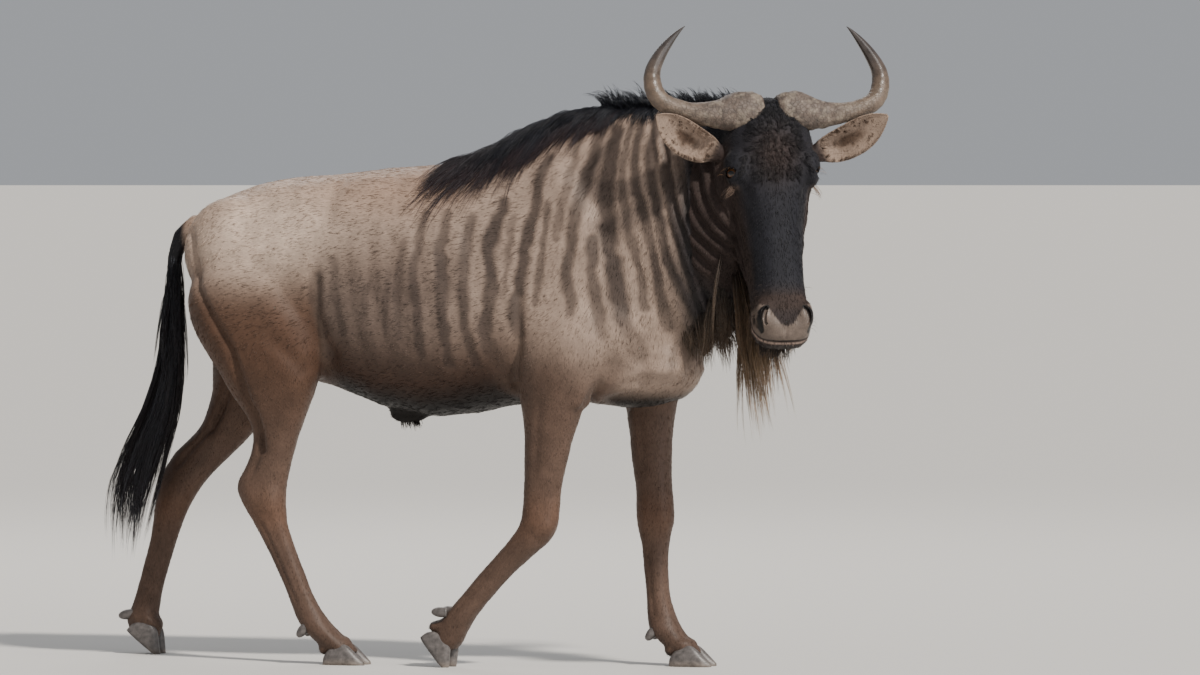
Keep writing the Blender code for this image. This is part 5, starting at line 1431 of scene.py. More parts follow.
def horn_material():
    """Rough flaking bosses that turn into smooth dark tips."""
    b = Builder("horn", Specular_IOR_Level=0.5)
    grain = b.noise(b.mapped((60, 60, 60)), 1.0, 5, 0.7)
    cracks = b.cells(b.mapped((1, 1, 1)), 110, "DISTANCE_TO_EDGE")
    flakes = b.ramp(cracks, 0.0, 1.0, 0.0, 0.12)
    fine = b.noise(b.mapped((400, 400, 400)), 1.0, 3)
    rough = b.attribute("rough", "Fac")
    shade = b.tinted(b.attribute("tone"), b.ramp(grain, 0.6, 1.4, 0.3, 0.7))
    height = b.mix(rough, b.ramp(fine, 0.0, 0.15), b.mix(b.ramp(grain, 0.2, 0.8), flakes, fine))
    b.surface(
        Base_Color=b.tinted(shade, b.mix(rough, 1.0, b.ramp(flakes, 0.75, 1.05))),
        Roughness=b.mix(rough, 0.26, 0.60),
        Normal=b.bump(height, 0.0016, 0.8),
    )
    return b.material


def hoof_material():
    b = Builder("hoof", Specular_IOR_Level=0.5)
    rings = b.noise(b.mapped((30, 30, 260)), 1.0, 3)
    scuffs = b.noise(b.mapped((90, 90, 90)), 1.0, 4)
    b.surface(
        Base_Color=b.tinted(b.attribute("tone"), b.ramp(scuffs, 0.6, 1.5, 0.3, 0.7)),
        Roughness=b.ramp(scuffs, 0.30, 0.55),
        Normal=b.bump(rings, 0.0010, 0.7),
    )
    return b.material


def eye_material():
    b = Builder("eye", Roughness=0.12, Coat_Weight=0.15, Coat_Roughness=0.05, Specular_IOR_Level=0.5)
    b.surface(Base_Color=b.attribute("tone"))
    return b.material


def give(obj, material):
    """Gives an object its material and smooth shading."""
    obj.data.materials.clear()
    obj.data.materials.append(material)
    obj.data.polygons.foreach_set("use_smooth", [True] * len(obj.data.polygons))
    obj.data.update()


def eyeball(side, material):
    """An eye with a dark brown iris and a level pupil."""
    middle = head_spot(EYE, side)
    made = ball(middle, EYE_RADIUS, segments=96)
    made.name = "eyeball_" + SIDES[side]
    co = points_of(made.data)
    gaze = np.array(head_way(EYE_GAZE, side))
    level = unit(np.cross(gaze, np.array(UP)))
    rise = np.cross(level, gaze)
    away = (co - np.array(middle)) / EYE_RADIUS
    across, up, seen = away @ level, away @ rise, away @ gaze > 0
    from_middle = np.hypot(across, up)
    iris = (1 - smoothstep(0.60, 0.66, from_middle)) * seen
    wide, tall = PUPIL_HALF
    tone = mixed(EYE_RIM, IRIS, iris)
    tone = mixed(tone, IRIS_EDGE, iris * smoothstep(0.45, 0.62, from_middle))
    tone = mixed(tone, PUPIL, (1 - smoothstep(0.85, 1.05, np.hypot(across / wide, up / tall))) * seen)
    set_colours(made.data, tone)
    bulge = CORNEA_RISE * (1 - smoothstep(0.0, IRIS_RADIUS, from_middle)) * seen
    set_points(made.data, co + gaze * (EYE_RADIUS * bulge)[:, None])
    give(made, material)
    return made


def horn(side, material):
    """Boss and horn as one body."""
    rows = curve_rows(HORN, HORN_STATIONS)
    points = [head_point(side * left, front, -above) for left, front, above, _, _ in rows]
    forward = head_way((0, 1, 0))
    rings = []
    for p, way, (_, _, _, tall, thick) in zip(points, along(points), rows):
        square = (forward - way * forward.dot(way)).normalized()
        rings.append(oval(p, way.cross(square), square, tall, thick, thick, count=HORN_RING))
    bm = bmesh.new()
    add_loft(bm, rings)
    made = mesh_object("horn_shell_" + SIDES[side], bm)
    co, n = points_of(made.data), normals_of(made.data)
    share = np.repeat(np.linspace(0, 1, HORN_STATIONS), HORN_RING)
    boss = 1 - smoothstep(0.30, 0.52, share)
    ridges = noise(co, 0.014, 31) * 0.6 + noise(co, 0.005, 32) * 0.4
    rings_of = np.sin(share * 150 + 3 * noise(co, 0.02, 33))
    push = HORN_RELIEF * (ridges - 0.5) * boss
    push += HORN_RINGS * rings_of * (1 - boss) * (1 - smoothstep(0.6, 0.8, share))
    set_points(made.data, co + n * (push - HORN_SET_IN)[:, None])
    scales = 0.6 * noise(co, 0.008, 34) + 0.4 * noise(co, 0.024, 35)
    flaking = smoothstep(0.50, 0.64, scales) * (0.25 + 0.75 * boss) * (1 - smoothstep(0.55, 0.75, share))
    tone = HORN_ROOT * (0.7 + 0.6 * noise(co, 0.012, 36))[:, None]
    tone = mixed(tone, HORN_MIDDLE, 0.7 * band(share, (0.30, 0.50), (0.62, 0.80)))
    tone = mixed(tone, HORN_FLAKE, 0.75 * flaking)
    tone = mixed(tone, HORN_TIP, smoothstep(0.60, 0.86, share))
    set_colours(made.data, tone)
    set_number(made.data, "rough", 1 - smoothstep(0.35, 0.75, share))
    give(made, material)
    return made


def claw(foot, side, material):
    """One half of a cloven hoof, its toe on the floor, its sole flat."""
    turn, toe = foot_turn(foot)
    rings = []
    for back, height, half in curve_rows(CLAW, CLAW_STATIONS):
        ring = []
        for i in range(CLAW_RING + 1):
            angle = math.pi * i / CLAW_RING
            c, s = math.cos(angle), math.sin(angle)
            y = math.copysign(abs(c) ** CLAW_SQUARE, c) * half * (1 - CLAW_NARROWS * s)
            ring.append(Vector((-back, y, height * s ** CLAW_CROWN)))
        rings.append(ring)
    bm = bmesh.new()
    add_loft(bm, rings)
    pivot = Matrix.Translation((CLAW_FORWARD, 0, 0))
    spread = Matrix.Translation((0, CLAW_APART * side, 0)) @ Matrix.Rotation(CLAW_SPLAY * side, 4, "Z")
    bm.transform(Matrix.Translation(toe) @ turn.to_4x4() @ pivot @ spread)
    bmesh.ops.triangulate(bm, faces=bm.faces)
    made = mesh_object(f"hoof_{foot}_{SIDES[side]}", bm)
    floor = bmesh.new()
    under = Matrix.Translation((0, 0, -0.5)) @ Matrix.Diagonal((3, 1, 1, 1))
    bmesh.ops.create_cube(floor, size=1, matrix=under)
    combine(made, mesh_object("floor_cut", floor), "DIFFERENCE")
    return painted_horn(made, material)


def dewclaw(foot, side, material):
    """A blunt little hoof behind the fetlock."""
    turn, _ = foot_turn(foot)
    mirror = Vector((1, side, 1))
    way = turn @ (Vector(DEWCLAW_WAY) * mirror).normalized()
    start = FEET[foot][3] + turn @ (Vector(DEWCLAW_START) * mirror)
    shares = curve_rows(DEWCLAW, DEWCLAW_STATIONS)
    points = [start + way * (DEWCLAW_LENGTH * share) for share, _ in shares]
    bm = bmesh.new()
    add_tube(bm, points, [DEWCLAW_RADIUS * r for _, r in shares], count=20, up=LEFTWARD)
    return painted_horn(mesh_object(f"spur_{foot}_{SIDES[side]}", bm), material)


def painted_horn(made, material):
    """Paints a hoof, paler where it is worn by the ground."""
    worn = 1 - smoothstep(0.0, HOOF_WEAR, points_of(made.data)[:, 2])
    set_colours(made.data, mixed(HOOF, HOOF_WORN, 0.6 * worn))
    give(made, material)
    return made


def unwrap(points):
    """Places on an unwrap of the skin: the trunk with the neck, each leg and the head have a patch each."""
    x, y, z = points.T
    around = np.arctan2(y, z - sum(trunk_at(x)) / 2) / math.tau + 0.5
    uv = np.column_stack((0.01 + 0.97 * np.clip((x + 1.0) / 2.0, 0, 1), 0.50 + 0.48 * around))
    legs = leg_share(points)
    for k, levels in enumerate(LEGS):
        middle_x, middle_y, _, _ = leg_at(levels, z)
        mine = (legs > 0.5) & (np.hypot(x - middle_x, y - middle_y) < 0.16)
        turn = np.arctan2(y - middle_y, x - middle_x) / math.tau + 0.5
        leg_uv = np.column_stack((k * 0.25 + 0.01 + 0.22 * turn, 0.26 + 0.22 * np.clip(z / 0.8, 0, 1)))
        uv[mine] = leg_uv[mine]
    local = to_head(points)
    turn = np.arctan2(local[:, 0], local[:, 1] + 0.10) / math.tau + 0.5
    head_uv = np.column_stack((0.01 + 0.96 * turn, 0.01 + 0.22 * np.clip((local[:, 2] + 0.25) / 1.0, 0, 1)))
    mine = head_share(points) > 0.5
    uv[mine] = head_uv[mine]
    return uv


class Coat:
    """Strands of one kind, gathered and then made into pieces of limited size."""

    def __init__(self, name, slot, material):
        self.name, self.slot, self.material = name, slot, material
        self.groups = []

    def add(self, points, out, width, thick, root_tone, tip_tone, roots=None):
        """Strands as points (strand, place, xyz), facings, widths, thicknesses and two colours each."""
        count = len(points)
        tones = [np.broadcast_to(tone, (count, 3)) for tone in (root_tone, tip_tone)]
        sizes = [np.broadcast_to(size, count) for size in (width, thick)]
        uv = unwrap(points[:, 0] if roots is None else roots)
        self.groups.append((points, out, *sizes, *tones, uv))

    def add_lock(self, kind, points, out, root_tone, tip_tone, rng):
        """The strands of one lock, with the shades and widths of its kind."""
        shade, width = 1.0, kind.wide
        if kind.light > kind.dark:
            shade = rng.uniform(kind.dark, kind.light, (kind.strands, 1))
        if kind.wide > kind.thin:
            width = rng.uniform(kind.thin, kind.wide, kind.strands)
        self.add(points, out, width, kind.thick, root_tone * shade, tip_tone * shade)

    def build(self):
        made = []
        for group in self.groups:
            each = 6 * (group[0].shape[1] - 2) + 4
            most = max(1, MOST_TRIANGLES // each)
            for first in range(0, len(group[0]), most):
                part = [a[first:first + most] for a in group]
                made.append((each * len(part[0]), part))
        pieces, held, size = [], [], 0
        for triangles, part in made:
            if held and size + triangles > MOST_TRIANGLES:
                pieces.append(held)
                held, size = [], 0
            held.append(part)
            size += triangles
        pieces.append(held)
        for number, parts in enumerate(pieces, 1):
            name = self.name if len(pieces) == 1 else f"{self.name}_{number}"
            obj = strand_mesh(name, parts)
            give(obj, self.material)
            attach(obj, "root")


def strand_mesh(name, parts):
    """One mesh of many closed three-sided strands that taper to a point."""
    verts, faces, tones, uvs, start = [], [], [], [], 0
    for points, out, width, thick, root_tone, tip_tone, uv in parts:
        count, places = points.shape[:2]
        way = unit(np.gradient(points, axis=1))
        across = unit(np.cross(way, out))
        ridge = np.cross(across, way)
        shares = np.linspace(0, 1, places)
        taper = np.interp(shares, *TAPER)[None, :, None]
        aside = (across * (width[:, None, None] / 2 * taper))[:, :-1]
        above = (ridge * thick[:, None, None] * taper)[:, :-1]
        body = points[:, :-1]
        sections = places - 1
        flat = np.stack((body + aside, body + above, body - aside), axis=2).reshape(count, sections * 3, 3)
        flat = np.concatenate((flat, points[:, -1:]), axis=1)
        per = sections * 3 + 1
        one = []
        for s in range(sections - 1):
            for k in range(3):
                a, b = s * 3 + k, s * 3 + (k + 1) % 3
                one += [(a, b, b + 3), (a, b + 3, a + 3)]
        last = (sections - 1) * 3
        one += [(last + k, last + (k + 1) % 3, per - 1) for k in range(3)]
        one.append((2, 1, 0))
        one = np.array(one)
        faces.append((one[None] + (start + np.arange(count) * per)[:, None, None]).reshape(-1, 3))
        verts.append(flat.reshape(-1, 3))
        level = np.append(np.repeat(shares[:-1], 3), 1.0)
        tone = root_tone[:, None] + (tip_tone - root_tone)[:, None] * level[None, :, None]
        tones.append(tone.reshape(-1, 3))
        corner = np.append(np.tile((0.0, 0.5, 1.0), sections), 0.5)
        patch = np.column_stack((corner, level)) * PATCH
        uvs.append((uv[:, None] + patch[None]).reshape(-1, 2))
        start += count * per
    verts, faces, tones, uvs = (np.concatenate(a) for a in (verts, faces, tones, uvs))
    mesh = bpy.data.meshes.new(name)
    mesh.vertices.add(len(verts))
    mesh.loops.add(len(faces) * 3)
    mesh.polygons.add(len(faces))
    mesh.loops.foreach_set("vertex_index", faces.ravel().astype(np.int32))
    mesh.polygons.foreach_set("loop_start", np.arange(0, len(faces) * 3, 3, dtype=np.int32))
    set_points(mesh, verts)
    mesh.update(calc_edges=True)
    layer = mesh.uv_layers.new(name="OFBake")
    layer.data.foreach_set("uv", uvs[faces.ravel()].astype(np.float32).ravel())
    set_colours(mesh, tones)
    obj = bpy.data.objects.new(name, mesh)
    bpy.context.scene.collection.objects.link(obj)
    return obj


def lie_of(co, n):
    """The way that the hair lies at each point of the skin."""
    x = co[:, 0]
    way = mixed(np.array(LIE_TRUNK), LIE_SHOULDER, smoothstep(0.20, 0.50, x))
    way = mixed(way, LIE_RUMP, 1 - smoothstep(-0.58, -0.40, x))
    way = mixed(way, LIE_LEG, leg_share(co))
    local = to_head(co)
    side = np.sign(local[:, 0]) * smoothstep(0.0, 0.05, np.abs(local[:, 0]))
    up = 1 - smoothstep(0.07, 0.15, local[:, 2])
    face = np.column_stack((side * (0.35 + 0.5 * up), 0 * side, 1 - 1.6 * up)) @ AXES.T
    way = mixed(way, face, head_share(co))
    ears, _, _ = ear_share(co)
    for k in SIDES:
        way = mixed(way, np.array(ear_axes(k)[1]), ears * (np.sign(local[:, 0]) == k))
    way = unit(way)
    way -= n * np.sum(way * n, axis=1, keepdims=True)
    return unit(way)


def skin_samples(mesh, count, weight, rng):
    """Points spread over the skin by area and by a weight, with the skin's normal there."""
    mesh.calc_loop_triangles()
    tri = np.empty(len(mesh.loop_triangles) * 3, np.int32)
    mesh.loop_triangles.foreach_get("vertices", tri)
    tri = tri.reshape(-1, 3)
    co, n = points_of(mesh), normals_of(mesh)
    a, b, c = co[tri[:, 0]], co[tri[:, 1]], co[tri[:, 2]]
    area = np.linalg.norm(np.cross(b - a, c - a), axis=1) * weight((a + b + c) / 3)
    chosen = rng.choice(len(tri), count, p=area / area.sum())
    u, v = rng.random(count), rng.random(count)
    flip = u + v > 1
    u[flip], v[flip] = 1 - u[flip], 1 - v[flip]
    w = 1 - u - v
    t = tri[chosen]
    place = co[t[:, 0]] * w[:, None] + co[t[:, 1]] * u[:, None] + co[t[:, 2]] * v[:, None]
    facing = n[t[:, 0]] * w[:, None] + n[t[:, 1]] * u[:, None] + n[t[:, 2]] * v[:, None]
    return place, unit(facing)


def short_coat(body, rng, material):
    """Short tufts all over the skin, which lie flat along it."""

    def weight(co):
        head = head_share(co)
        return (1 + 1.6 * head + 0.7 * leg_share(co)) * (1 - pad_share(to_head(co)) * head)

    place, facing = skin_samples(body.data, SHORT_TUFTS, weight, rng)
    keep = (eye_gap(place) > EYE_RADIUS + 0.006) & (place[:, 2] > 0.012)
    place, facing = place[keep], facing[keep]
    count = len(place)
    way = lie_of(place, facing)
    way = unit(way + np.cross(facing, way) * rng.normal(0, 0.11, count)[:, None])
    legs, head = leg_share(place), head_share(place)
    length = TUFT_BODY * (1 - head) * (1 - legs) + TUFT_LEG * legs * (1 - head) + TUFT_HEAD * head
    length = np.where(ear_share(place)[0] > 0.2, TUFT_EAR, length) * rng.uniform(0.7, 1.25, count)
    lift = 0.0002 + length * rng.uniform(0.015, 0.06, count) * (1 + 0.8 * head)
    shares = np.array((0.0, 0.5, 1.0))
    rise = np.array((-0.25, 0.85, 1.0))
    points = place[:, None] + way[:, None] * (length[:, None] * shares)[:, :, None]
    points += facing[:, None] * (lift[:, None] * rise)[:, :, None]
    width = (TUFT_WIDTH * (1 - head) + TUFT_HEAD_WIDTH * head) * (1 - 0.35 * legs)
    width *= rng.uniform(0.7, 1.3, count)
    tone = coat_colour(place)
    flecks = 1.03 + 0.11 * (1 - 0.6 * legs) * rng.normal(0, 1, count).clip(-1.2, 2.6)
    coat = Coat("short_coat", "coat", material)
    facings = facing[:, None] + 0 * points
    coat.add(points, facings, width, width * 0.3, tone * 0.98, tone * (flecks + 0.05)[:, None], place)
    coat.build()


def eye_gap(points):
    """How far each point is from the middle of the nearer eye."""
    return np.minimum(*(np.linalg.norm(points - np.array(head_spot(EYE, side)), axis=1) for side in SIDES))


def laid_guide(tree, root, start, end, length, lift, steps=8, sunk=0.004):
    """A lock's middle line, which leaves its root and then lies over the skin, and the facings along it."""
    place, facing = nearest(tree, root)
    points, facings = [place - facing * sunk], [facing]
    for i in range(1, steps):
        share = i / (steps - 1)
        way = Vector(start).lerp(Vector(end), share)
        way = (way - facing * way.dot(facing)).normalized()
        place, facing = nearest(tree, place + way * (length / (steps - 1)))
        rise = lift * math.sin(math.pi * min(1.0, share * 0.9 + 0.12))
        points.append(place + facing * rise)
        facings.append(facing)
    return np.array(points), np.array(facings)


def hung_guide(root, first, last, length, facing, steps):
    """A lock's middle line that leaves its root one way and bends into another."""
    points, place = [], np.array(root, float)
    for share in np.arange(steps) / (steps - 1):
        points.append(place)
        way = unit(np.array(first) * (1 - share) + np.array(last) * share)
        place = place + way * (length / (steps - 1))
    return np.array(points), np.tile(np.array(facing, float), (steps, 1))


def strands_along(kind, guide, facings, rng):
    """Strands that follow a guide: spread about it at the root and drawn together at its tip."""
    places, count = len(guide), kind.strands
    shares = np.linspace(0, 1, places)
    across = unit(np.cross(unit(np.gradient(guide, axis=0)), facings))
    part = rng.uniform(kind.shortest, 1.0, count)
    at = shares[None] * part[:, None] * (places - 1)
    i = np.minimum(at.astype(int), places - 2)
    t = (at - i)[..., None]
    middle, side, out = (a[i] * (1 - t) + a[i + 1] * t for a in (guide, across, facings))
    aside = rng.uniform(-1, 1, count)
    rise = rng.uniform(kind.lowest, 1, count)
    close = np.interp(shares, *GATHERED)[None]
    turns, phase = rng.uniform(0.4, 1.2, count)[:, None], rng.random(count)[:, None]
    bend = kind.wave * np.sin(math.tau * (shares[None] * turns + phase)) * shares[None]
    points = middle + side * (aside[:, None] * close * kind.spread + bend)[..., None]
    points += out * (rise[:, None] * close * kind.spread * 0.35)[..., None]
    return points, out


def strayed(way, spread, rng):
    """A direction with a chance part added to it."""
    return np.array(way) + rng.normal(0, spread, 3)


def crest_at(x):
    return np.array([np.interp(x, column(CREST, 0), column(CREST, k)) for k in range(3)])


def mane(tree, rng, material):
    """Long locks over the near side of the withers, shorter ones beyond, and a short crest on the neck."""
    coat = Coat("mane", "hair", material)
    for side, first, last, count, share in MANE_ROWS:
        for i in range(count):
            x = first + (last - first) * (i + rng.uniform(-0.4, 0.4)) / (count - 1)
            root = crest_at(x) + (0, side * rng.uniform(-0.008, 0.014), 0)
            length = np.interp(x, *zip(*MANE_LENGTH)) * share * rng.uniform(0.72, 1.10)
            onward = smoothstep(0.40, 0.52, x)
            start = strayed((-0.62 + 0.32 * onward, side * 0.75, -0.20), 0.07, rng)
            end = strayed((-0.50 + 0.42 * onward, side * 0.45, -0.90), 0.10, rng)
            lift = rng.uniform(0.004, 0.020) * min(1.0, length / 0.18)
            guide, out = laid_guide(tree, root, start, end, length, lift)
            points, out = strands_along(MANE_LOCK, guide, out, rng)
            brown = smoothstep(0.22, 0.10, x) * 0.7
            root_tone = MANE * rng.uniform(0.6, 1.5)
            tip_tone = (MANE * (1 - brown) + MANE_BROWN * brown) * rng.uniform(0.6, 1.7)
            coat.add_lock(MANE_LOCK, points, out, root_tone, tip_tone, rng)
    for _ in range(MANE_WISPS):
        x = rng.uniform(0.085, 0.46)
        root = crest_at(x) + (0, -rng.uniform(0.004, 0.020), 0)
        length = np.interp(x, *zip(*MANE_LENGTH)) * rng.uniform(0.9, 1.42)
        start = strayed((-0.62, -0.75, -0.25), 0.10, rng)
        end = strayed((-0.50, -0.40, -0.95), 0.18, rng)
        guide, out = laid_guide(tree, root, start, end, length, rng.uniform(0.003, 0.012))
        coat.add_lock(WISP, *strands_along(WISP, guide, out, rng), MANE, MANE_BROWN, rng)
    for _ in range(STANDING_LOCKS):
        x = rng.uniform(0.40, 0.775)
        root = crest_at(x) + (0, rng.uniform(-0.020, 0.020), 0)
        place, facing = nearest(tree, root)
        side = rng.uniform(-0.7, 0.7)
        first = np.array(facing) + (rng.uniform(-0.5, 0.1), side * 0.4, 0.1)
        last = np.array((rng.uniform(-1.2, -0.3), side * 1.2, rng.uniform(-0.6, 0.5)))
        length = rng.uniform(0.030, 0.070) if x > 0.5 else rng.uniform(0.040, 0.085)
        guide, out = hung_guide(place - facing * 0.004, first, last, length, (0.3, side, 0.2), 7)
        coat.add_lock(STANDING_LOCK, *strands_along(STANDING_LOCK, guide, out, rng), MANE, MANE, rng)
    coat.build()


def tail_outline(z):
    """Middle and half sizes of the tail's hair at a level."""
    rows = sorted((middle[2], middle[0], middle[1], deep, wide) for middle, deep, wide in TAIL_HAIR)
    return [np.interp(z, column(rows, 0), column(rows, k)) for k in (1, 2, 3, 4)]


def tail(rng, material):
    """Long hair from all along the dock."""
    coat = Coat("tail_hair", "hair", material)
    for _ in range(TAIL_LOCKS):
        top = 0.965 - 0.32 * rng.random() ** 0.8
        fall = rng.uniform(0.10, 0.28) if top > 0.84 else rng.uniform(0.24, 0.56)
        bottom = max(top - fall, rng.uniform(0.19, 0.29))
        angle = rng.uniform(0, math.tau)
        far = rng.uniform(0.35, 1.0)
        levels = np.linspace(top, bottom, TAIL_PLACES)
        x, y, deep, wide = tail_outline(levels)
        x = x - TAIL_BLOWN * rng.random() ** 3 * smoothstep(0.62, 0.36, levels)
        spread = np.interp(np.linspace(0, 1, TAIL_PLACES), *TAIL_SPREAD) * far
        ahead, left = math.cos(angle), math.sin(angle)
        guide = np.column_stack((x + ahead * deep * spread, y + left * wide * spread, levels))
        out = np.tile((ahead, left, 0.0), (TAIL_PLACES, 1))
        brown = TAIL_BLACK * 0.6 + MANE_BROWN * 0.4
        coat.add_lock(TAIL_LOCK, *strands_along(TAIL_LOCK, guide, out, rng), TAIL_BLACK, brown, rng)
    coat.build()


def beard(tree, rng, material):
    """The throat's fringe and the beard on the lower jaw, dark at the roots and tan at the tips."""
    coat = Coat("beard", "hair", material)
    for left, front, down, length, count, tan in BEARD:
        for _ in range(count):
            root = head_point(left + rng.uniform(-0.014, 0.014), front, down + rng.uniform(-0.02, 0.02))
            place, facing = nearest(tree, root)
            last = strayed((0.15, 0.02, -1.0), 0.05, rng)
            first = np.array(facing) * 0.6 + (0, 0, -1)
            side = unit(np.array(head_way((1, 0.6, 0))) * rng.uniform(0.4, 1) + rng.normal(0, 0.3, 3))
            size = length * rng.uniform(0.75, 1.06)
            guide, out = hung_guide(place - facing * 0.006, first, last, size, side, 8)
            tip = BEARD_ROOT * (1 - tan) + BEARD_TIP * tan
            coat.add_lock(BEARD_LOCK, *strands_along(BEARD_LOCK, guide, out, rng), BEARD_ROOT, tip, rng)
    tip = BEARD_ROOT * 0.7 + BEARD_TIP * 0.3
    for x, y, z, length in THROAT:
        for _ in range(THROAT_LOCKS):
            root = np.array((x, y, z)) + rng.uniform((-0.02, -0.055, -0.02), (0.02, 0.055, 0.04))
            place, facing = nearest(tree, root)
            last = strayed((0.08, -0.02, -1.0), 0.07, rng)
            first = np.array(facing) * 0.5 + (0, 0, -1)
            size = length * rng.uniform(0.5, 1.05)
            guide, out = hung_guide(place - facing * 0.006, first, last, size, (0.3, -1, 0), 8)
            strands = strands_along(THROAT_LOCK, guide, out, rng)
            coat.add_lock(THROAT_LOCK, *strands, BEARD_ROOT * 0.7, tip, rng)
    coat.build()


def ear_hair(tree, side, rng, coat):
    reach, way, across, opens = ear_axes(side)
    root = head_spot(EAR_ROOT, side)
    for _ in range(EAR_LOCKS):
        share = rng.uniform(0.22, 0.85)
        edge = rng.choice((-1, 1)) * rng.uniform(0.35, 0.95)
        half = np.interp(share, column(EAR, 0), column(EAR, 1))
        at = root + reach * share - UP * (EAR_SAG * math.sin(math.pi * share)) + across * (half * edge)
        place, _ = nearest(tree, at + opens * 0.01)
        first = np.array(way) * (0.8 - share) - np.array(across) * edge * 0.7 + np.array(opens) * 0.35
        last = np.array(way) * (1.0 - share) - np.array(across) * edge * 0.6
        size = rng.uniform(0.012, 0.028) * (1.15 - share)
        guide, out = hung_guide(place, first, last, size, opens, 5)
        points, out = strands_along(EAR_LOCK, guide, out, rng)
        tone = (EAR_INSIDE if abs(edge) > 0.6 else EAR_BACK) * rng.uniform(0.8, 1.2)
        coat.add_lock(EAR_LOCK, points, out, tone * 0.7, tone, rng)


def single_hairs(tree, side, rng, coat):
    """Lashes, the bristles under the eye and whiskers."""

    def hair(place, first, last, length, facing, steps, width, root_tone, tip_tone):
        guide, out = hung_guide(place, first, last, length, facing, steps)
        coat.add(guide[None], out[None], width, 0.0004, root_tone, tip_tone)

    for i in range(LASHES):
        share = (i + rng.uniform(-0.3, 0.3)) / (LASHES - 1) * 2 - 1
        gaze, rise = head_way(EYE_GAZE, side), head_way((0, 0, -1))
        level = rise.cross(gaze).normalized()
        at = head_spot(EYE, side) + gaze * (EYE_RADIUS * 0.92)
        at += level * (EYE_OPENING[0] * share) + rise * (EYE_OPENING[1] * 0.95 * (1 - share * share))
        tone = LASH if i % 3 else LASH_PALE
        first = gaze + rise * 0.2 + level * share * 0.5
        hair(at, first, gaze * 0.6 - UP, LASH_LENGTH, rise, 5, 0.0007, tone, tone)
    for _ in range(EYE_BRISTLES):
        left, front, down = rng.uniform((0.094, -0.062, 0.184), (0.108, -0.036, 0.200))
        place, facing = nearest(tree, head_point(side * left, front, down))
        last = strayed(head_way((0.5, -0.9, 0.55), side), 0.15, rng)
        length = rng.uniform(0.018, 0.040)
        tone = TAN * rng.uniform(0.7, 1.7)
        hair(place, facing, last, length, UP, 6, 0.0006, tone, tone * 1.2)
    for _ in range(WHISKERS):
        left, down, front = rng.uniform((0.045, 0.42, -0.06), (0.066, 0.535, 0.0))
        place, facing = nearest(tree, head_point(side * left, front, down))
        first = strayed(facing, 0.25, rng)
        length = rng.uniform(0.010, 0.024)
        tone = WHISKER * rng.uniform(0.5, 1.6)
        hair(place, first, first * 0.4 + (0, 0, -1.0), length, UP, 6, 0.0006, tone, tone * 1.4)


def face_hair(tree, rng, material):
    """Longer hair on the forehead, ears, chin and sheath, with lashes, bristles and whiskers."""
    coat = Coat("face_hair", "hair", material)
    for _ in range(FOREHEAD_LOCKS):
        left, down = rng.uniform(-0.075, 0.075), rng.uniform(-0.04, 0.17)
        root = head_point(left, 0.03, down)
        way = head_way((left * 10 + rng.normal(0, 0.3), 0, (down - 0.075) * 12 + rng.normal(0, 0.3)))
        guide, out = laid_guide(tree, root, way, way, rng.uniform(0.014, 0.030), 0.004, steps=5, sunk=0.002)
        strands = strands_along(FOREHEAD_LOCK, guide, out, rng)
        tone = coat_colour(np.array(root)[None])
        coat.add_lock(FOREHEAD_LOCK, *strands, tone * 0.7, tone * 1.05, rng)
    for side in SIDES:
        ear_hair(tree, side, rng, coat)
        single_hairs(tree, side, rng, coat)
    x, y, z = BELLY_FORMS[-1][0]
    for _ in range(SHEATH_LOCKS):
        root = (x + rng.uniform(-0.02, 0.03), y + rng.uniform(-0.010, 0.010), z - 0.03)
        place, facing = nearest(tree, root)
        size = rng.uniform(0.014, 0.030)
        guide, out = hung_guide(place - facing * 0.003, facing, (0.3, 0, -1), size, (0.3, -1, 0), 5)
        # The sheath's hair takes the belly's near-black, which is partly painted shade.
        coat.add_lock(SHEATH_LOCK, *strands_along(SHEATH_LOCK, guide, out, rng), BELLY_BLACK_AND_SHADE, BELLY_BLACK_AND_SHADE * 1.5, rng)
    tone = BEARD_ROOT * 0.6
    for _ in range(CHIN_LOCKS):
        left, down = rng.uniform(-0.040, 0.040), rng.uniform(0.50, 0.555)
        place, facing = nearest(tree, head_point(left, -0.095, down))
        first = np.array(facing) * 0.6 + (0, 0, -0.8)
        size = rng.uniform(0.02, 0.055)
        guide, out = hung_guide(place - facing * 0.003, first, (0.1, 0, -1), size, (0.3, -1, 0), 6)
        coat.add_lock(CHIN_LOCK, *strands_along(CHIN_LOCK, guide, out, rng), tone, tone * 2.2, rng)
    coat.build()


def lights_and_floor():
    bm = bmesh.new()
    bmesh.ops.create_grid(bm, x_segments=2, y_segments=2, size=400)
    floor = mesh_object("studio_floor", bm)
    b = Builder("studio_floor", Roughness=0.9)
    b.surface(Base_Color=FLOOR_COLOUR)
    give(floor, b.material)
    world = bpy.data.worlds.new("studio")
    bpy.context.scene.world = world
    world.use_nodes = True
    background = world.node_tree.nodes["Background"]
    background.inputs["Color"].default_value = SKY_COLOUR
    background.inputs["Strength"].default_value = SKY_STRENGTH
    target = Vector((0, 0, 0.8))
    for name, kind, place, size, power, tint in LIGHTS:
        light = bpy.data.lights.new(name, kind)
        light.energy, light.color = power, tint
        if kind == "SUN":
            light.angle = size
        else:
            light.size = size
        lamp = bpy.data.objects.new(name, light)
        lamp.location = place
        lamp.rotation_euler = (target - Vector(place)).to_track_quat("-Z", "Y").to_euler()
        bpy.context.scene.collection.objects.link(lamp)


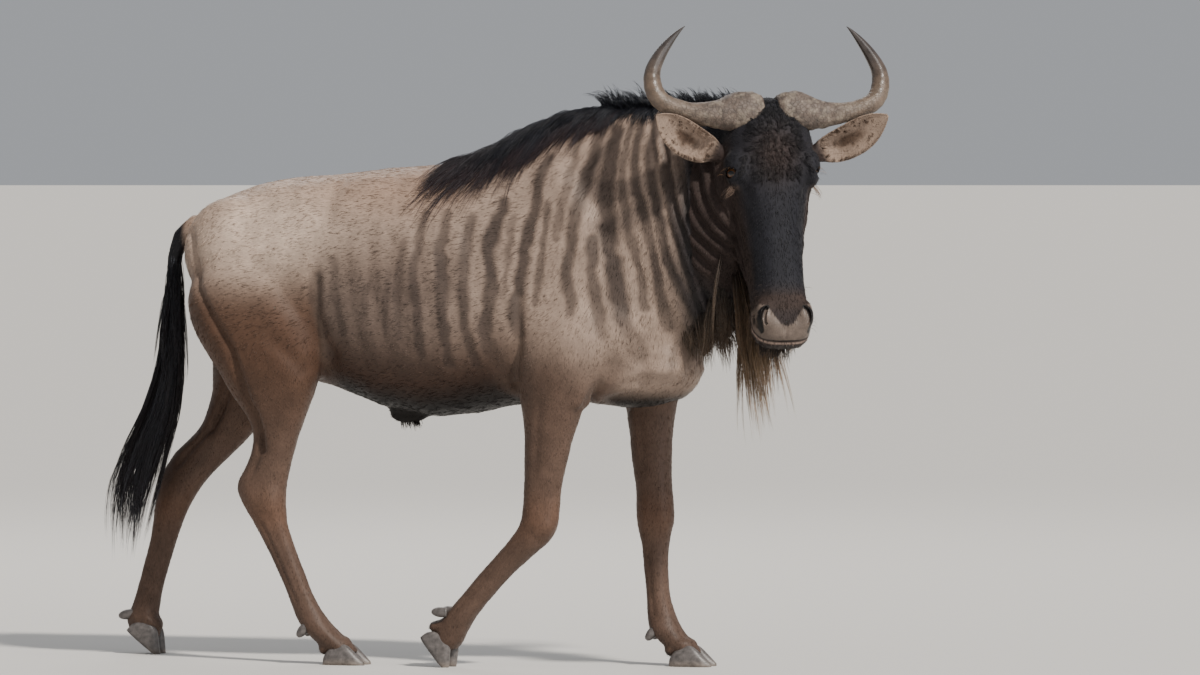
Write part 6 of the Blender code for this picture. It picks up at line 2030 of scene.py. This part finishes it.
def camera(shift):
    middle = (VIEW_MIDDLE * math.cos(VIEW_TURN), VIEW_MIDDLE * math.sin(VIEW_TURN), VIEW_LEVEL)
    target = Vector(middle) + shift
    away = Vector((math.sin(VIEW_TURN), -math.cos(VIEW_TURN), math.tan(VIEW_RISE))) * VIEW_AWAY
    data = bpy.data.cameras.new("view")
    data.lens, data.sensor_width = LENS, SENSOR
    data.clip_end = 100
    made = bpy.data.objects.new("view", data)
    made.location = target + away
    made.rotation_euler = (-away).to_track_quat("-Z", "Y").to_euler()
    bpy.context.scene.collection.objects.link(made)
    bpy.context.scene.camera = made


def main():
    rng = np.random.default_rng(RANDOM_SEED)
    low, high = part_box("eye_left")
    shift = (low + high) / 2 - head_spot(EYE, 1)
    before = set(bpy.data.objects)
    body = flesh()
    finer_head(body)
    sculpted(body)
    finish_skin(body)
    paint_skin(body)
    give(body, skin_material())
    tree = tree_of(body.data)
    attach(body, "root")
    fur = hair_material("fur", 0.55, 0.05, (1.0, 0.94, 0.88))
    long_hair = hair_material("long_hair", 0.36, 0.15, (0.75, 0.85, 1.0))
    short_coat(body, rng, fur)
    mane(tree, rng, long_hair)
    tail(rng, long_hair)
    beard(tree, rng, hair_material("beard_hair", 0.45, 0.2, (1.0, 0.9, 0.8)))
    face_hair(tree, rng, fur)
    horn_finish, hoof_finish, eye_finish = horn_material(), hoof_material(), eye_material()
    for side, word in SIDES.items():
        for made, node, slot in ((eyeball(side, eye_finish), "eye_" + word, "eye"),
                                 (horn(side, horn_finish), "horn_" + word, "horn")):
            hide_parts(node)
            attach(made, "root")
        for foot in FEET:
            for made, node in ((claw(foot, side, hoof_finish), f"claw_{foot}_{word}"),
                               (dewclaw(foot, side, hoof_finish), f"dewclaw_{foot}_{word}")):
                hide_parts(node)
                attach(made, "root")
    flesh_nodes = ["torso", "neck", "head", "tail", "ear_right", "ear_left"]
    flesh_nodes += ["leg_" + foot for foot in FEET]
    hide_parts(*flesh_nodes)
    for made in set(bpy.data.objects) - before:
        if made.type == "MESH":
            made.data.transform(Matrix.Translation(shift))
    lights_and_floor()
    camera(shift)


main()
